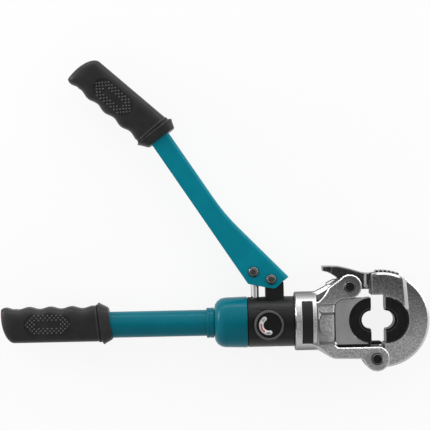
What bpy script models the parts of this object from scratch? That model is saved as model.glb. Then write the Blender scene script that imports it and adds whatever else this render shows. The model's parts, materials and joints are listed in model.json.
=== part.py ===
"""Hydraulic pipe crimper: a hand pump with two handles, a swivelling head, a swing jaw and crimping dies.

Metres. The tool lies on its back: X runs along the pump towards the jaw, Y towards the moving lever,
and Z up, out of the side that carries the release knob. Places below are measured from the pump's axis
at the face where the pump block meets the head.
"""

import math

import bmesh
import bpy
from mathutils import Matrix, Vector

# Fits and mesh fineness
CLEAR = 0.0003
CUT_OVER = 0.001
BIG_ROUND = 28
SMALL_ROUND = 16
ARC_STEP = math.radians(22.5)

# Pump block
BLOCK_RADIUS = 0.0281
BLOCK_LENGTH = 0.052
BLOCK_CHAMFER = 0.0008
SPIGOT_RADIUS = 0.022
SPIGOT_LENGTH = 0.010
SPIGOT_HOLLOW = 0.0125
HOLLOW_DEPTH = 0.003
LUG_CHAMFER = 0.0005

# Reservoir cap, tube collar and fixed tube
CAP_RADIUS = 0.0286
CAP_TAPER = 0.0007
CAP_LENGTH = 0.037
CAP_SHOULDER = 0.0125
CAP_CHAMFER = 0.0006
COLLAR_RADIUS = 0.0169
COLLAR_LENGTH = 0.0084
COLLAR_GROOVE = 0.0006
TUBE_RADIUS = 0.01465
TUBE_WALL = 0.0025
TUBE_VISIBLE = 0.1072
TUBE_IN_GRIP = 0.100
TUBE_IN_CAP = 0.020
PLUG_LENGTH = 0.008
BLADDER_RADIUS = 0.0105
BLADDER_LENGTH = 0.150
BLADDER_NECK_RADIUS = 0.005
BLADDER_NECK_LENGTH = 0.014
BLADDER_RIM = 0.002

# Grips
GRIP_LENGTH = 0.1222
GRIP_HALF_HEIGHT = 0.020
GRIP_HALF_THICKNESS = 0.0175
GRIP_LIFT = 0.0019
GRIP_BEFORE_BEND = 0.0066
GRIP_SQUARENESS = 3.4
GRIP_SECTION_POINTS = 16
GROOVE_COUNT = 4
GROOVE_PITCH = 0.0239
GROOVE_DEPTH = 0.0025
FIRST_RIDGE = 0.0195
HEEL_LENGTH = 0.015
HEEL_TIP_HEIGHT = 0.0165
FLANGE_HALF_HEIGHT = 0.0232
FLANGE_HALF_THICKNESS = 0.0210
FLANGE_PEAK = 0.0102
FLANGE_FRONT_HALF_HEIGHT = 0.0174
FIXED_FLANGE_TILT = math.radians(8)
MOVING_FLANGE_TILT = math.radians(12.6)
PAD_CENTRE = 0.0692
PAD_LENGTH = 0.0521
PAD_WIDTH = 0.0244
PAD_FLOOR = 0.0163
PAD_OFFSET = 0.0008
HEEL_TURN = math.radians(84)
HEEL_SQUARENESS = 0.45
HEEL_RISE = 0.004
FLANGE_EDGE = 0.0008
FLANGE_BLEND = 0.004

# Moving lever, a pressed channel, in its own frame: s runs from the pivot to the grip, n to the web side
LEVER_PIVOT_X = -0.0249
LEVER_PIVOT_Y = 0.0476
LEVER_ANGLE = math.radians(123.45)
LEVER_WIDTH = 0.026
LEVER_SHEET = 0.003
LEVER_OPEN_EDGE = -0.0242
LEVER_DEPTH = 0.023
LEVER_BEND_AT = 0.206
LEVER_BEND = math.radians(15.05)
LEVER_BEND_RADIUS = 0.085
LEVER_FLARE_AT = 0.0894
LEVER_FLARE_RADIUS = 0.225
LEVER_TIP_S = -0.0086
LEVER_TIP_N = 0.0176
LEVER_IN_GRIP = 0.070
LEVER_EDGE_ROUND = 0.005
LEVER_CUT_S = 0.0168
LEVER_TRIM = 0.006
LEVER_END = ((-0.0032, -0.0108, 0.006), (-0.0114, -0.0021, 0.007), (-0.0091, 0.0091, 0.004))

# Lever lug on the block, lever bolt and plunger pin
LUG_REAR = 0.0068
LUG_FRONT = 0.0138
LUG_TOP_RADIUS = 0.011
LUG_FOOT = 0.0015
BOLT_RADIUS = 0.004
BOLT_HEAD_RADIUS = 0.0058
BOLT_HEAD_HEIGHT = 0.0034
BOLT_SOCKET_RADIUS = 0.0023
BUSH_WALL = 0.0017
NUT_RADIUS = 0.0065
NUT_HEIGHT = 0.005
NUT_CHAMFER = 0.0005
PLUNGER_PIN_S = 0.0181
PLUNGER_PIN_N = -0.0116

# Pump plunger
PLUNGER_X = -0.0432
PLUNGER_RADIUS = 0.00435
PLUNGER_TIP_Y = 0.008
PLUNGER_BORE_END = -0.012
EYE_CENTRE_X = -0.0448
EYE_WALL = 0.0028
EYE_THICKNESS = 0.011
SLOT_LENGTH = 0.0122
SLOT_HEIGHT = 0.009
GLAND_RADIUS = 0.0072
GLAND_HEIGHT = 0.0042
GLAND_SINK = 0.0010
SEAL_HEIGHT = 0.0025
PLUNGER_CHAMFER = 0.0006
STEM_UNDER_SLOT = 0.0008
SEAL_RADIUS = 0.0062

# Valves in the block
BALL_RADIUS = 0.0026
VALVE_WIRE = 0.0004
VALVE_SPRING_LENGTH = 0.0040
SUCTION_WALL = 0.001
DELIVERY_Y = -0.0060
RELIEF_X = -0.0215
RELIEF_RADIUS = 0.0034
RELIEF_DEPTH = 0.0190
RELIEF_SCREW_LENGTH = 0.005
RELIEF_POPPET_LENGTH = 0.0055
RELIEF_SCREW_SINK = 0.0008
SCREW_SOCKET_DEPTH = 0.002

# Release knob and needle
KNOB_X = -0.0293
KNOB_Y = -0.0015
KNOB_RADIUS = 0.0161
KNOB_SEAT_Z = 0.024
KNOB_TOP_Z = 0.045
KNOB_RIM = 0.0027
KNOB_RECESS = 0.0012
KNOB_CHAMFER = 0.0015
KNOB_FOOT = 0.0005
DIAL_SLOPE = 0.0004
NEEDLE_RADIUS = 0.004
NEEDLE_TIP_Z = 0.0055
NEEDLE_IN_KNOB = 0.010

# Ram cylinder, piston and return spring
CYLINDER_RADIUS = 0.026
CYLINDER_FRONT = 0.0225
CYLINDER_BORE = 0.019
CYLINDER_FLOOR = 0.0038
CYLINDER_PORT = 0.003
CYLINDER_SPIGOT_RADIUS = 0.022
CYLINDER_SPIGOT_LENGTH = 0.0137
SWIVEL_RING_AT = 0.0040
SWIVEL_RING_WIDTH = 0.0020
SWIVEL_RING_DEPTH = 0.0012
PISTON_LENGTH = 0.008
PISTON_SEAL_WIDTH = 0.0030
PISTON_SEAL_DEPTH = 0.0030
ROD_RADIUS = 0.010
ROD_IN_RAM = 0.008
SPRING_WIRE = 0.0011
SPRING_TURNS = 3

# Head
HEAD_COLLAR_RADIUS = 0.0329
HEAD_COLLAR_LENGTH = 0.0262
HEAD_COLLAR_EDGE = 0.0012
HEAD_COLLAR_SLOPE = 0.0023
HEAD_COLLAR_DROP = 0.0085
NECK_REAR = 0.010
NECK_FLOOR = 0.0188
NECK_LEDGE_TOP = 0.0184
NECK_LEDGE_LOW = 0.0103
NECK_LEDGE_SINK = 0.0020
NECK_LEDGE_HIGH = 0.0003
NECK_STEP = 0.0026
NECK_BAND_LOW = -0.0234
NECK_BAND_SINK = 0.0014
NECK_BAND_END = -0.0268
NECK_RIM = 0.0014
NECK_BOSS_TOP = 0.0079
NECK_BOSS_BOTTOM = -0.0165
NECK_BOSS_LEFT = 0.0268
NECK_BOSS_ROUND = 0.0105
NECK_BOSS_HEIGHT = 0.0013
NECK_BOSS_EDGE = 0.0008
NECK_WEDGE_HIGH_Y = 0.0142
NECK_WEDGE_LOW_Y = 0.0015
NECK_WEDGE_LENGTH = 0.0042
NECK_WEDGE_TIP_Y = 0.0097
NECK_WEDGE_RISE = 0.0036
HEAD_HALF_THICKNESS = 0.023
HEAD_CORE_HALF_THICKNESS = 0.0135
HEAD_CORE_EDGE = 0.0036
HEAD_EDGE = 0.0012
BUSH_RADIUS = 0.013
BUSH_INSET = 0.004
WINDOW_LEFT = 0.044
WINDOW_TOP = 0.0247
RAIL_HALF_THICKNESS = 0.0165
RAIL_STEP = 0.0028
ARM_BOTTOM = -0.0422
ARM_CORNER_X = 0.0411
ARM_CORNER_RISE = 0.0008
ARM_CORNER_ROUND = 0.010
WINDOW_ROUND = 0.005
WINDOW_TOP_ROUND = 0.010
CHEEK_REAR_LOW = 0.0225
CHEEK_NECK_LOW = 0.0290
CHEEK_REAR_HIGH = 0.0220
CORE_REAR_HALF_HEIGHT = 0.030
JAW_EAR_LEAD = 0.002
JAW_SLOT_SPARE = 0.0012
LATCH_SLOT_RISE = 0.0035
LATCH_SLOT_SINK = 0.0047
CHEEK_BACK = ((0.0475, 0.0440, 0.006), (0.0385, 0.0378, 0.006), (0.0330, 0.0285, 0.010))
CORE_BELLY = ((0.0262, -0.0325, 0.006), (0.0405, -0.0414, 0.004))
CORE_BACK = ((0.0500, 0.0320, 0), (0.0400, 0.0410, 0.004), (0.0330, 0.0372, 0.004), (0.0240, 0.0325, 0.012))
JAW_PIVOT_X = 0.0902
JAW_PIVOT_Y = -0.0424
JAW_EAR_RADIUS = 0.014
JAW_TONGUE_HALF_THICKNESS = 0.0105
LATCH_PIVOT_X = 0.0614
LATCH_PIVOT_Y = 0.0383
LATCH_EAR_RADIUS = 0.0134
LATCH_HUB_HALF_THICKNESS = 0.0104
LATCH_SLOT_RADIUS = 0.0155

# Pins and circlips
PIN_RADIUS = 0.0057
PIN_STAND = 0.0022
PIN_CHAMFER = 0.0006
CIRCLIP_GROOVE = 0.0007
CIRCLIP_THICKNESS = 0.0009
CIRCLIP_WIDTH = 0.0018
CIRCLIP_GAP = math.radians(50)

# Ram, guide key and dies
RAM_REAR = 0.0451
RAM_BOTTOM = -0.026
RAM_TOP = 0.0242
RAM_HALF_THICKNESS = 0.018
RAM_TIP_SETBACK = 0.0042
RAM_TOP_ROUND = 0.009
RAM_BOTTOM_ROUND = 0.004
KEY_HALF_WIDTH = 0.005
KEY_REAR = 0.050
KEY_FRONT = 0.0976
KEY_HEIGHT = 0.0040
KEY_STAND = 0.0024
BAR_REAR = 0.0490
BAR_FRONT = 0.0842
BAR_TONGUE_FRONT = 0.0730
BAR_TONGUE_DEPTH = 0.0015
KEY_NOSE = 0.0018
KEY_CHAMFER = 0.0004
DIE_RADIUS = 0.025
DIE_HALF_THICKNESS = 0.014
DIE_FLAT_REST = 0.0852
DIE_GAP = 0.0162
DIE_BORE_RADIUS = 0.0102
DIE_RELIEF_RADIUS = 0.0127
DIE_RELIEF_DEPTH = 0.0042
DIE_GROOVE_HALF_WIDTH = 0.0016
DETENT_RADIUS = 0.0024
DETENT_IN_SEAT = 0.004
DETENT_IN_DIE = 0.0015
DETENT_CHAMFER = 0.0004

# Swing jaw
JAW_ARC_X = 0.097
JAW_ARC_Y = 0.0005
JAW_ARC_RADIUS = 0.0526
JAW_HALF_THICKNESS = 0.019
JAW_END_HALF_THICKNESS = 0.016
JAW_END_LEFT = 0.0855
JAW_END_BOTTOM = 0.0281
JAW_END_RIGHT = 0.1230
JAW_END_LOW = 0.0115
JAW_EDGE = 0.0024
JAW_INNER_EDGE = 0.0006
JAW_EDGE_HEIGHT = 0.0018
JAW_STRIP = 0.0036
JAW_STRIP_LEAN = 0.0030
JAW_HEEL_X = 0.0987
JAW_HEEL_Y = -0.0268
JAW_ARC_START = -88
JAW_END_ROUND = 0.003
JAW_END_HEIGHT = 0.0478
JAW_SLOT_RADIUS = 0.0865
JAW_SLOT_RIGHT = 0.1190
JAW_SLOT_FLARE = 0.004
JAW_TONGUE_REACH = 0.022
JAW_TONGUE_LOW = 0.004
JAW_TONGUE_TOP = -0.0244
LATCH_HALF_THICKNESS = 0.0080

# Latch lever
LATCH_TOOTH_RIGHT = 0.0846
LATCH_TOOTH_BOTTOM = 0.0345
LATCH_NOSE_RIGHT = 0.1180
LATCH_TAIL_TIP_X = 0.0320
LATCH_TAIL_TOP = 0.0613
LATCH_TAIL_DEPTH = 0.0058
LATCH_HUB_RADIUS = 0.0112
CROSS_PIN_RADIUS = 0.0016
CROSS_PIN_IN = 0.0036
CROSS_PIN_UP = 0.0030
CROSS_PIN_STAND = 0.0004
LATCH_EDGE = 0.0010
LATCH_TOOTH_LEFT = 0.0740
LATCH_NOSE_TOP = 0.0489
LATCH_NOSE_GAP = 0.0004
LATCH_RIB_ROOT = 0.0004
LATCH_RIB_TOP = 0.0024
LATCH_RIBS_START = 67.5
LATCH_RIBS_END = 97.3
LATCH_BACK = ((0.0860, 0.0525, 0), (0.0817, 0.0524, 0), (0.0761, 0.0534, 0),
              (0.0651, 0.0569, 0.02), (0.0568, 0.0592, 0), (0.0502, 0.0607, 0), (0.0401, 0.0612, 0))
LATCH_BELLY = ((0.0371, 0.0545, 0), (0.0417, 0.0525, 0), (0.0450, 0.0502, 0), (0.0481, 0.0484, 0))
LATCH_RIB_COUNT = 6
LATCH_SPRING_WIRE = 0.0006
LATCH_SPRING_FLOOR = 0.0050
LATCH_SPRING_START = 270
LATCH_SPRING_END = 804
NECK_LEG = ((0.0472, 0.0464), (0.0434, 0.0460), (0.0364, 0.0427), (0.0356, 0.0403))

# Places that follow from the sizes above
BLOCK_REAR = -BLOCK_LENGTH
SPIGOT_REAR = BLOCK_REAR - SPIGOT_LENGTH
SUCTION_Y = -(SPIGOT_HOLLOW - BALL_RADIUS - SUCTION_WALL)
CAP_FRONT = BLOCK_REAR - CLEAR
CAP_REAR = CAP_FRONT - CAP_LENGTH
COLLAR_FRONT = CAP_REAR - CLEAR
COLLAR_REAR = COLLAR_FRONT - COLLAR_LENGTH
GRIP_FRONT = COLLAR_REAR - TUBE_VISIBLE
TUBE_REAR = GRIP_FRONT - TUBE_IN_GRIP
TUBE_FRONT = CAP_REAR + TUBE_IN_CAP
LEVER_PIVOT = Vector((LEVER_PIVOT_X, LEVER_PIVOT_Y, 0))
LEVER_INNER_HALF = LEVER_WIDTH / 2 - LEVER_SHEET
LUG_HALF_THICKNESS = LEVER_INNER_HALF - CLEAR
JAW_PIVOT = Vector((JAW_PIVOT_X, JAW_PIVOT_Y, 0))
LATCH_PIVOT = Vector((LATCH_PIVOT_X, LATCH_PIVOT_Y, 0))
KNOB_AT = Vector((KNOB_X, KNOB_Y, 0))
PIN_HOLE_RADIUS = PIN_RADIUS + CLEAR
LATCH_SPRING_RADIUS = PIN_HOLE_RADIUS + LATCH_SPRING_WIRE
BUSH_REAR = CYLINDER_FRONT + BUSH_INSET
BUSH_FRONT = WINDOW_LEFT - BUSH_INSET / 2
PISTON_REAR = -CYLINDER_SPIGOT_LENGTH + CYLINDER_FLOOR + CLEAR
PISTON_FRONT = PISTON_REAR + PISTON_LENGTH
DIE_SEAT_RADIUS = DIE_RADIUS + CLEAR
DIE_FLAT_FIXED = DIE_FLAT_REST + DIE_GAP
RAM_TIP = DIE_FLAT_REST - RAM_TIP_SETBACK
RAIL_TOP = RAM_BOTTOM - CLEAR
ARM_TOP = RAIL_TOP - RAIL_STEP
BAR_BOTTOM = ARM_TOP + CLEAR
GLAND_SEAT_Y = math.sqrt(BLOCK_RADIUS ** 2 - GLAND_RADIUS ** 2) - GLAND_SINK


# Outlines and meshes


def arc(x, y, radius, start, end, step=ARC_STEP):
    """Points of an arc from one angle to another, in degrees, as corners without rounding."""
    span = math.radians(end - start)
    count = max(1, math.ceil(abs(span) / step - 1e-6))
    points = []
    for index in range(count + 1):
        angle = math.radians(start) + span * index / count
        points.append((x + radius * math.cos(angle), y + radius * math.sin(angle), 0))
    return points


def rounded(corners):
    """Closed outline through corners (x, y, radius), each rounded by an arc tangent to its two sides."""
    outline = []
    for index, (x, y, radius) in enumerate(corners):
        here = Vector((x, y))
        back = (Vector(corners[index - 1][:2]) - here).normalized()
        ahead = (Vector(corners[(index + 1) % len(corners)][:2]) - here).normalized()
        if radius <= 0:
            outline.append(here)
            continue
        half = back.angle(ahead) / 2
        centre = here + (back + ahead).normalized() * radius / math.sin(half)
        start = here + back * radius / math.tan(half) - centre
        turn = math.pi - 2 * half
        side = 1 if back.cross(ahead) < 0 else -1
        count = max(1, math.ceil(turn / ARC_STEP))
        for step in range(count + 1):
            rotation = Matrix.Rotation(side * turn * step / count, 2)
            outline.append(centre + rotation @ start)
    return outline


def circle(x, y, radius, count=SMALL_ROUND):
    """Closed round outline."""
    angles = [2 * math.pi * index / count for index in range(count)]
    return [Vector((x + radius * math.cos(angle), y + radius * math.sin(angle))) for angle in angles]


def grown(outline, distances):
    """Outline moved outwards by a distance at each point, or inwards where it is negative."""
    area = sum(a.cross(b) for a, b in zip(outline, outline[1:] + outline[:1]))
    outward = 1 if area > 0 else -1
    moved_points = []
    for index, (here, distance) in enumerate(zip(outline, distances)):
        back = (here - outline[index - 1]).normalized()
        ahead = (outline[(index + 1) % len(outline)] - here).normalized()
        normal = Vector((back.y + ahead.y, -back.x - ahead.x)).normalized() * outward
        reach = distance / max(0.3, normal.dot(Vector((ahead.y, -ahead.x)) * outward))
        moved_points.append(here + normal * reach)
    return moved_points


def bridge(mesh, rings, closed=False):
    """Join rings of vertices in order with quads."""
    pairs = list(zip(rings, rings[1:]))
    if closed:
        pairs.append((rings[-1], rings[0]))
    for ring, following in pairs:
        for index in range(max(len(ring), len(following))):
            corners = [
                ring[index % len(ring)],
                ring[(index + 1) % len(ring)],
                following[(index + 1) % len(following)],
                following[index % len(following)],
            ]
            unique = list(dict.fromkeys(corners))
            mesh.faces.new(unique)


def finished(mesh):
    """Mesh with all its faces pointing out."""
    bmesh.ops.recalc_face_normals(mesh, faces=mesh.faces)
    return mesh


def slab(outline, low, high, chamfer=0.0):
    """Flat plate between two heights, with its outer edges chamfered."""
    if chamfer <= 0:
        return layered([(outline, low), (outline, high)])
    inner = grown(outline, [-chamfer] * len(outline))
    return layered([(inner, low), (outline, low + chamfer), (outline, high - chamfer), (inner, high)])


def layered(levels):
    """Body through outlines with the same number of points, each at its own height."""
    mesh = bmesh.new()
    rings = []
    for outline, height in levels:
        rings.append([mesh.verts.new((point.x, point.y, height)) for point in outline])
    mesh.faces.new(rings[0])
    mesh.faces.new(rings[-1])
    bridge(mesh, rings)
    return finished(mesh)


def turned(profile, axis="X", count=BIG_ROUND, at=(0, 0, 0)):
    """Round body from a profile of (along, radius) points; a profile off the axis closes on itself."""
    mesh = bmesh.new()
    closed = profile[0][1] > 0 and profile[-1][1] > 0
    rings = []
    for along, radius in profile:
        ring = []
        for index in range(count if radius > 0 else 1):
            angle = 2 * math.pi * index / count
            across = (radius * math.cos(angle), radius * math.sin(angle))
            point = {"X": (along, *across), "Y": (across[1], along, across[0]), "Z": (*across, along)}[axis]
            ring.append(mesh.verts.new(Vector(point) + Vector(at)))
        rings.append(ring)
    bridge(mesh, rings, closed)
    return finished(mesh)


def rod(radius, low, high, axis="X", at=(0, 0, 0), count=SMALL_ROUND, chamfer=0.0):
    """Plain round bar between two places on its axis."""
    profile = [(low, 0), (low, radius - chamfer)]
    if chamfer > 0:
        profile += [(low + chamfer, radius), (high - chamfer, radius)]
    profile += [(high, radius - chamfer), (high, 0)]
    return turned(profile, axis, count, at)


def ring_body(inner, outer, low, high, axis="X", at=(0, 0, 0), count=SMALL_ROUND, chamfer=0.0):
    """Round sleeve between two places on its axis."""
    profile = [(low, inner), (low, outer - chamfer)]
    if chamfer > 0:
        profile += [(low + chamfer, outer), (high - chamfer, outer)]
    profile += [(high, outer - chamfer), (high, inner)]
    return turned(profile, axis, count, at)


def swept(path, wire, sides=5):
    """Round wire along a list of points."""
    mesh = bmesh.new()
    rings = []
    side = Vector((0, 0, 1))
    for index, here in enumerate(path):
        ahead = path[min(index + 1, len(path) - 1)]
        back = path[max(index - 1, 0)]
        along = (ahead - back).normalized()
        side = (side - along * side.dot(along)).normalized()
        across = along.cross(side)
        ring = []
        for step in range(sides):
            angle = 2 * math.pi * step / sides
            ring.append(mesh.verts.new(here + wire * (side * math.cos(angle) + across * math.sin(angle))))
        rings.append(ring)
    mesh.faces.new(rings[0])
    mesh.faces.new(rings[-1])
    bridge(mesh, rings)
    return finished(mesh)


def coil(radius, wire, turns, low, high, axis="X", at=(0, 0, 0), per_turn=12, sides=5):
    """Compression spring between two places on its axis, its ends inside them."""
    path = []
    steps = int(turns * per_turn)
    start = low + wire
    travel = high - low - 2 * wire
    for index in range(steps + 1):
        angle = 2 * math.pi * index / per_turn
        across = (radius * math.cos(angle), radius * math.sin(angle))
        along = start + travel * index / steps
        point = {"X": (along, *across), "Y": (across[1], along, across[0]), "Z": (*across, along)}[axis]
        path.append(Vector(point) + Vector(at))
    return swept(path, wire, sides)


def moved(mesh, matrix):
    """Mesh after a move, a turn or a mirroring."""
    bmesh.ops.transform(mesh, matrix=matrix, verts=mesh.verts)
    if matrix.determinant() < 0:
        bmesh.ops.reverse_faces(mesh, faces=mesh.faces)
    return mesh


def helper_object(mesh):
    """Unnamed object that holds a mesh while shapes are joined or cut."""
    data = bpy.data.meshes.new("helper")
    mesh.to_mesh(data)
    mesh.free()
    helper = bpy.data.objects.new("helper", data)
    bpy.context.scene.collection.objects.link(helper)
    return helper


def shaped(base, add=(), cut=()):
    """Solid made by joining some meshes to a base and then cutting others from it, one after another."""
    steps = [("UNION", mesh) for mesh in add] + [("DIFFERENCE", mesh) for mesh in cut]
    for operation, mesh in steps:
        body = helper_object(base)
        tool = helper_object(mesh)
        modifier = body.modifiers.new("shape", "BOOLEAN")
        modifier.operation = operation
        modifier.solver = "EXACT"
        modifier.object = tool
        base = bmesh.new()
        base.from_object(body, bpy.context.evaluated_depsgraph_get())
        bmesh.ops.remove_doubles(base, verts=base.verts, dist=1e-6)
        for helper in (body, tool):
            data = helper.data
            bpy.data.objects.remove(helper)
            bpy.data.meshes.remove(data)
    return base


# Materials and placing


def material(name, colour, roughness, metallic):
    """Principled material of one colour."""
    made = bpy.data.materials.new(name)
    made.use_nodes = True
    shader = made.node_tree.nodes["Principled BSDF"]
    shader.inputs["Base Color"].default_value = (*colour, 1)
    shader.inputs["Roughness"].default_value = roughness
    shader.inputs["Metallic"].default_value = metallic
    return made


FINISHES = {
    "teal_paint": ((0.003, 0.165, 0.205), 0.35, 0.0),
    "black_metal": ((0.018, 0.018, 0.019), 0.42, 0.6),
    "rubber": ((0.022, 0.022, 0.023), 0.62, 0.0),
    "chrome": ((0.62, 0.62, 0.62), 0.28, 1.0),
    "steel": ((0.45, 0.45, 0.46), 0.32, 1.0),
    "dark_steel": ((0.07, 0.07, 0.075), 0.35, 0.9),
    "knob_plastic": ((0.02, 0.02, 0.02), 0.45, 0.0),
    "seal_rubber": ((0.012, 0.012, 0.012), 0.7, 0.0),
    "bronze": ((0.42, 0.24, 0.09), 0.4, 1.0),
}


def place(name, mesh, finish, body, at=(0, 0, 0), turn=0.0):
    """Named object on a body, its mesh given about its own origin."""
    data = bpy.data.meshes.new(name)
    mesh.to_mesh(data)
    mesh.free()
    data.shade_smooth()
    data.set_sharp_from_angle(angle=math.radians(32))
    data.materials.append(material(f"{name}_{finish}", *FINISHES[finish]))
    piece = bpy.data.objects.new(name, data)
    bpy.context.scene.collection.objects.link(piece)
    piece.parent = body
    piece.location = Vector(at) - Vector(body["at"])
    piece.rotation_euler.z = turn
    return piece


def body_at(name, at, parent=None):
    """Empty on a joint's axis, which carries the pieces that move with it."""
    body = bpy.data.objects.new(name, None)
    bpy.context.scene.collection.objects.link(body)
    body["at"] = tuple(at)
    body.empty_display_size = 0.01
    if parent:
        body.parent = parent
        body.location = Vector(at) - Vector(parent["at"])
    return body


# Pump


def lug_outline():
    """Lug that carries the lever, standing on the block."""
    x, y = LEVER_PIVOT_X, LEVER_PIVOT_Y
    left_angle = math.degrees(math.acos(-LUG_REAR / LUG_TOP_RADIUS))
    foot = CYLINDER_SPIGOT_RADIUS + LUG_FOOT
    corners = [(x - LUG_REAR, foot, 0), (x + LUG_FRONT, foot, 0), (x + LUG_FRONT, y - 0.3 * LUG_FRONT, 0)]
    corners += arc(x, y, LUG_TOP_RADIUS, 15, left_angle)
    return rounded(corners)


def pump_block(body):
    """Round black block with the plunger bore, the valve bores and the lever lug."""
    c = BLOCK_CHAMFER
    base = turned([
        (SPIGOT_REAR, 0),
        (SPIGOT_REAR, SPIGOT_RADIUS),
        (BLOCK_REAR, SPIGOT_RADIUS),
        (BLOCK_REAR, BLOCK_RADIUS - c),
        (BLOCK_REAR + c, BLOCK_RADIUS),
        (-c, BLOCK_RADIUS),
        (0, BLOCK_RADIUS - c),
        (0, 0),
    ])
    lug = slab(lug_outline(), -LUG_HALF_THICKNESS, LUG_HALF_THICKNESS, LUG_CHAMFER)
    bush_hole = rod(BOLT_RADIUS + BUSH_WALL + 2 * CLEAR, -LEVER_WIDTH, LEVER_WIDTH, "Z", LEVER_PIVOT)
    spigot_floor = -CYLINDER_SPIGOT_LENGTH - CLEAR
    cylinder_bore = rod(CYLINDER_SPIGOT_RADIUS + CLEAR, spigot_floor, CUT_OVER, count=BIG_ROUND)
    hollow = rod(SPIGOT_HOLLOW, SPIGOT_REAR - CUT_OVER, SPIGOT_REAR + HOLLOW_DEPTH)
    plunger_bore = turned([
        (PLUNGER_BORE_END, 0),
        (PLUNGER_BORE_END, PLUNGER_RADIUS + CLEAR),
        (GLAND_SEAT_Y - GLAND_HEIGHT - SEAL_HEIGHT - 2 * CLEAR, PLUNGER_RADIUS + CLEAR),
        (GLAND_SEAT_Y - GLAND_HEIGHT - SEAL_HEIGHT - 2 * CLEAR, SEAL_RADIUS + CLEAR),
        (GLAND_SEAT_Y - GLAND_HEIGHT - CLEAR, SEAL_RADIUS + CLEAR),
        (GLAND_SEAT_Y - GLAND_HEIGHT - CLEAR, GLAND_RADIUS + CLEAR),
        (BLOCK_RADIUS + CUT_OVER, GLAND_RADIUS + CLEAR),
        (BLOCK_RADIUS + CUT_OVER, 0),
    ], "Y", SMALL_ROUND, (PLUNGER_X, 0, 0))
    knob_seat = rod(KNOB_RADIUS + CLEAR, KNOB_SEAT_Z, BLOCK_RADIUS + CUT_OVER, "Z", KNOB_AT, BIG_ROUND)
    needle_bore = rod(NEEDLE_RADIUS + CLEAR, NEEDLE_TIP_Z - CLEAR, BLOCK_RADIUS, "Z", KNOB_AT)
    relief_low = -BLOCK_RADIUS - CUT_OVER
    relief = rod(RELIEF_RADIUS + CLEAR, relief_low, -BLOCK_RADIUS + RELIEF_DEPTH, "Y", (RELIEF_X, 0, 0))
    suction_end = SPIGOT_REAR + HOLLOW_DEPTH + 2 * BALL_RADIUS + VALVE_SPRING_LENGTH + 3 * CLEAR
    suction = rod(BALL_RADIUS + CLEAR, SPIGOT_REAR, suction_end, "X", (0, SUCTION_Y, 0))
    delivery_end = -CYLINDER_SPIGOT_LENGTH - 2 * BALL_RADIUS - VALVE_SPRING_LENGTH - 3 * CLEAR
    delivery = rod(BALL_RADIUS + CLEAR, delivery_end, spigot_floor + CUT_OVER, "X", (0, DELIVERY_Y, 0))
    cuts = [bush_hole, cylinder_bore, hollow, plunger_bore, knob_seat, needle_bore, relief, suction, delivery]
    place("pump_block", shaped(base, [lug], cuts), "black_metal", body)


def reservoir_cap(body):
    """Teal cup with a round shoulder that joins the tube to the block."""
    centre_radius = CAP_RADIUS - CAP_TAPER - CAP_SHOULDER
    round_edge = arc(CAP_REAR + CAP_SHOULDER, centre_radius, CAP_SHOULDER, 180, 90)
    shoulder = [(x, y) for x, y, _ in round_edge]
    spigot_end = SPIGOT_REAR - CLEAR
    profile = [(CAP_REAR, TUBE_RADIUS + CLEAR)] + shoulder + [
        (CAP_FRONT - CAP_CHAMFER, CAP_RADIUS),
        (CAP_FRONT, CAP_RADIUS - CAP_CHAMFER),
        (CAP_FRONT, SPIGOT_RADIUS + CLEAR),
        (spigot_end, SPIGOT_RADIUS + CLEAR),
        (spigot_end, TUBE_RADIUS + CLEAR),
    ]
    place("reservoir_cap", turned(profile), "teal_paint", body)


def fixed_tube(body):
    """Tube of the fixed handle, from inside the grip into the reservoir cap."""
    inner = TUBE_RADIUS - TUBE_WALL
    tube = ring_body(inner, TUBE_RADIUS, TUBE_REAR, TUBE_FRONT, count=BIG_ROUND)
    place("fixed_tube", tube, "teal_paint", body)


def tube_collar(body):
    """Ring nut that closes the reservoir cap on the tube."""
    g = COLLAR_GROOVE
    middle = (COLLAR_REAR + COLLAR_FRONT) / 2
    profile = [
        (COLLAR_REAR, TUBE_RADIUS + CLEAR),
        (COLLAR_REAR, COLLAR_RADIUS - g),
        (COLLAR_REAR + g, COLLAR_RADIUS),
        (middle - g, COLLAR_RADIUS),
        (middle, COLLAR_RADIUS - g),
        (middle + g, COLLAR_RADIUS),
        (COLLAR_FRONT, COLLAR_RADIUS),
        (COLLAR_FRONT, TUBE_RADIUS + CLEAR),
    ]
    place("tube_collar", turned(profile), "teal_paint", body)


def tube_plug(body):
    """Plug that closes the rear end of the tube."""
    radius = TUBE_RADIUS - TUBE_WALL - CLEAR
    place("tube_plug", rod(radius, TUBE_REAR, TUBE_REAR + PLUG_LENGTH), "dark_steel", body)


def oil_bladder(body):
    """Rubber bladder in the tube, its neck in the block's spigot."""
    front = SPIGOT_REAR - BLADDER_RIM
    neck_rear = front - BLADDER_NECK_LENGTH
    rear = neck_rear - BLADDER_LENGTH
    r = BLADDER_RADIUS
    profile = [
        (rear, 0),
        (rear, 0.5 * r),
        (rear + 0.3 * r, 0.87 * r),
        (rear + r, r),
        (neck_rear - r, r),
        (neck_rear, BLADDER_NECK_RADIUS),
        (front, BLADDER_NECK_RADIUS),
        (front, SPIGOT_HOLLOW - CLEAR),
        (SPIGOT_REAR - CLEAR, SPIGOT_HOLLOW - CLEAR),
        (SPIGOT_REAR - CLEAR, 0),
    ]
    place("oil_bladder", turned(profile, count=SMALL_ROUND), "seal_rubber", body)


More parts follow.
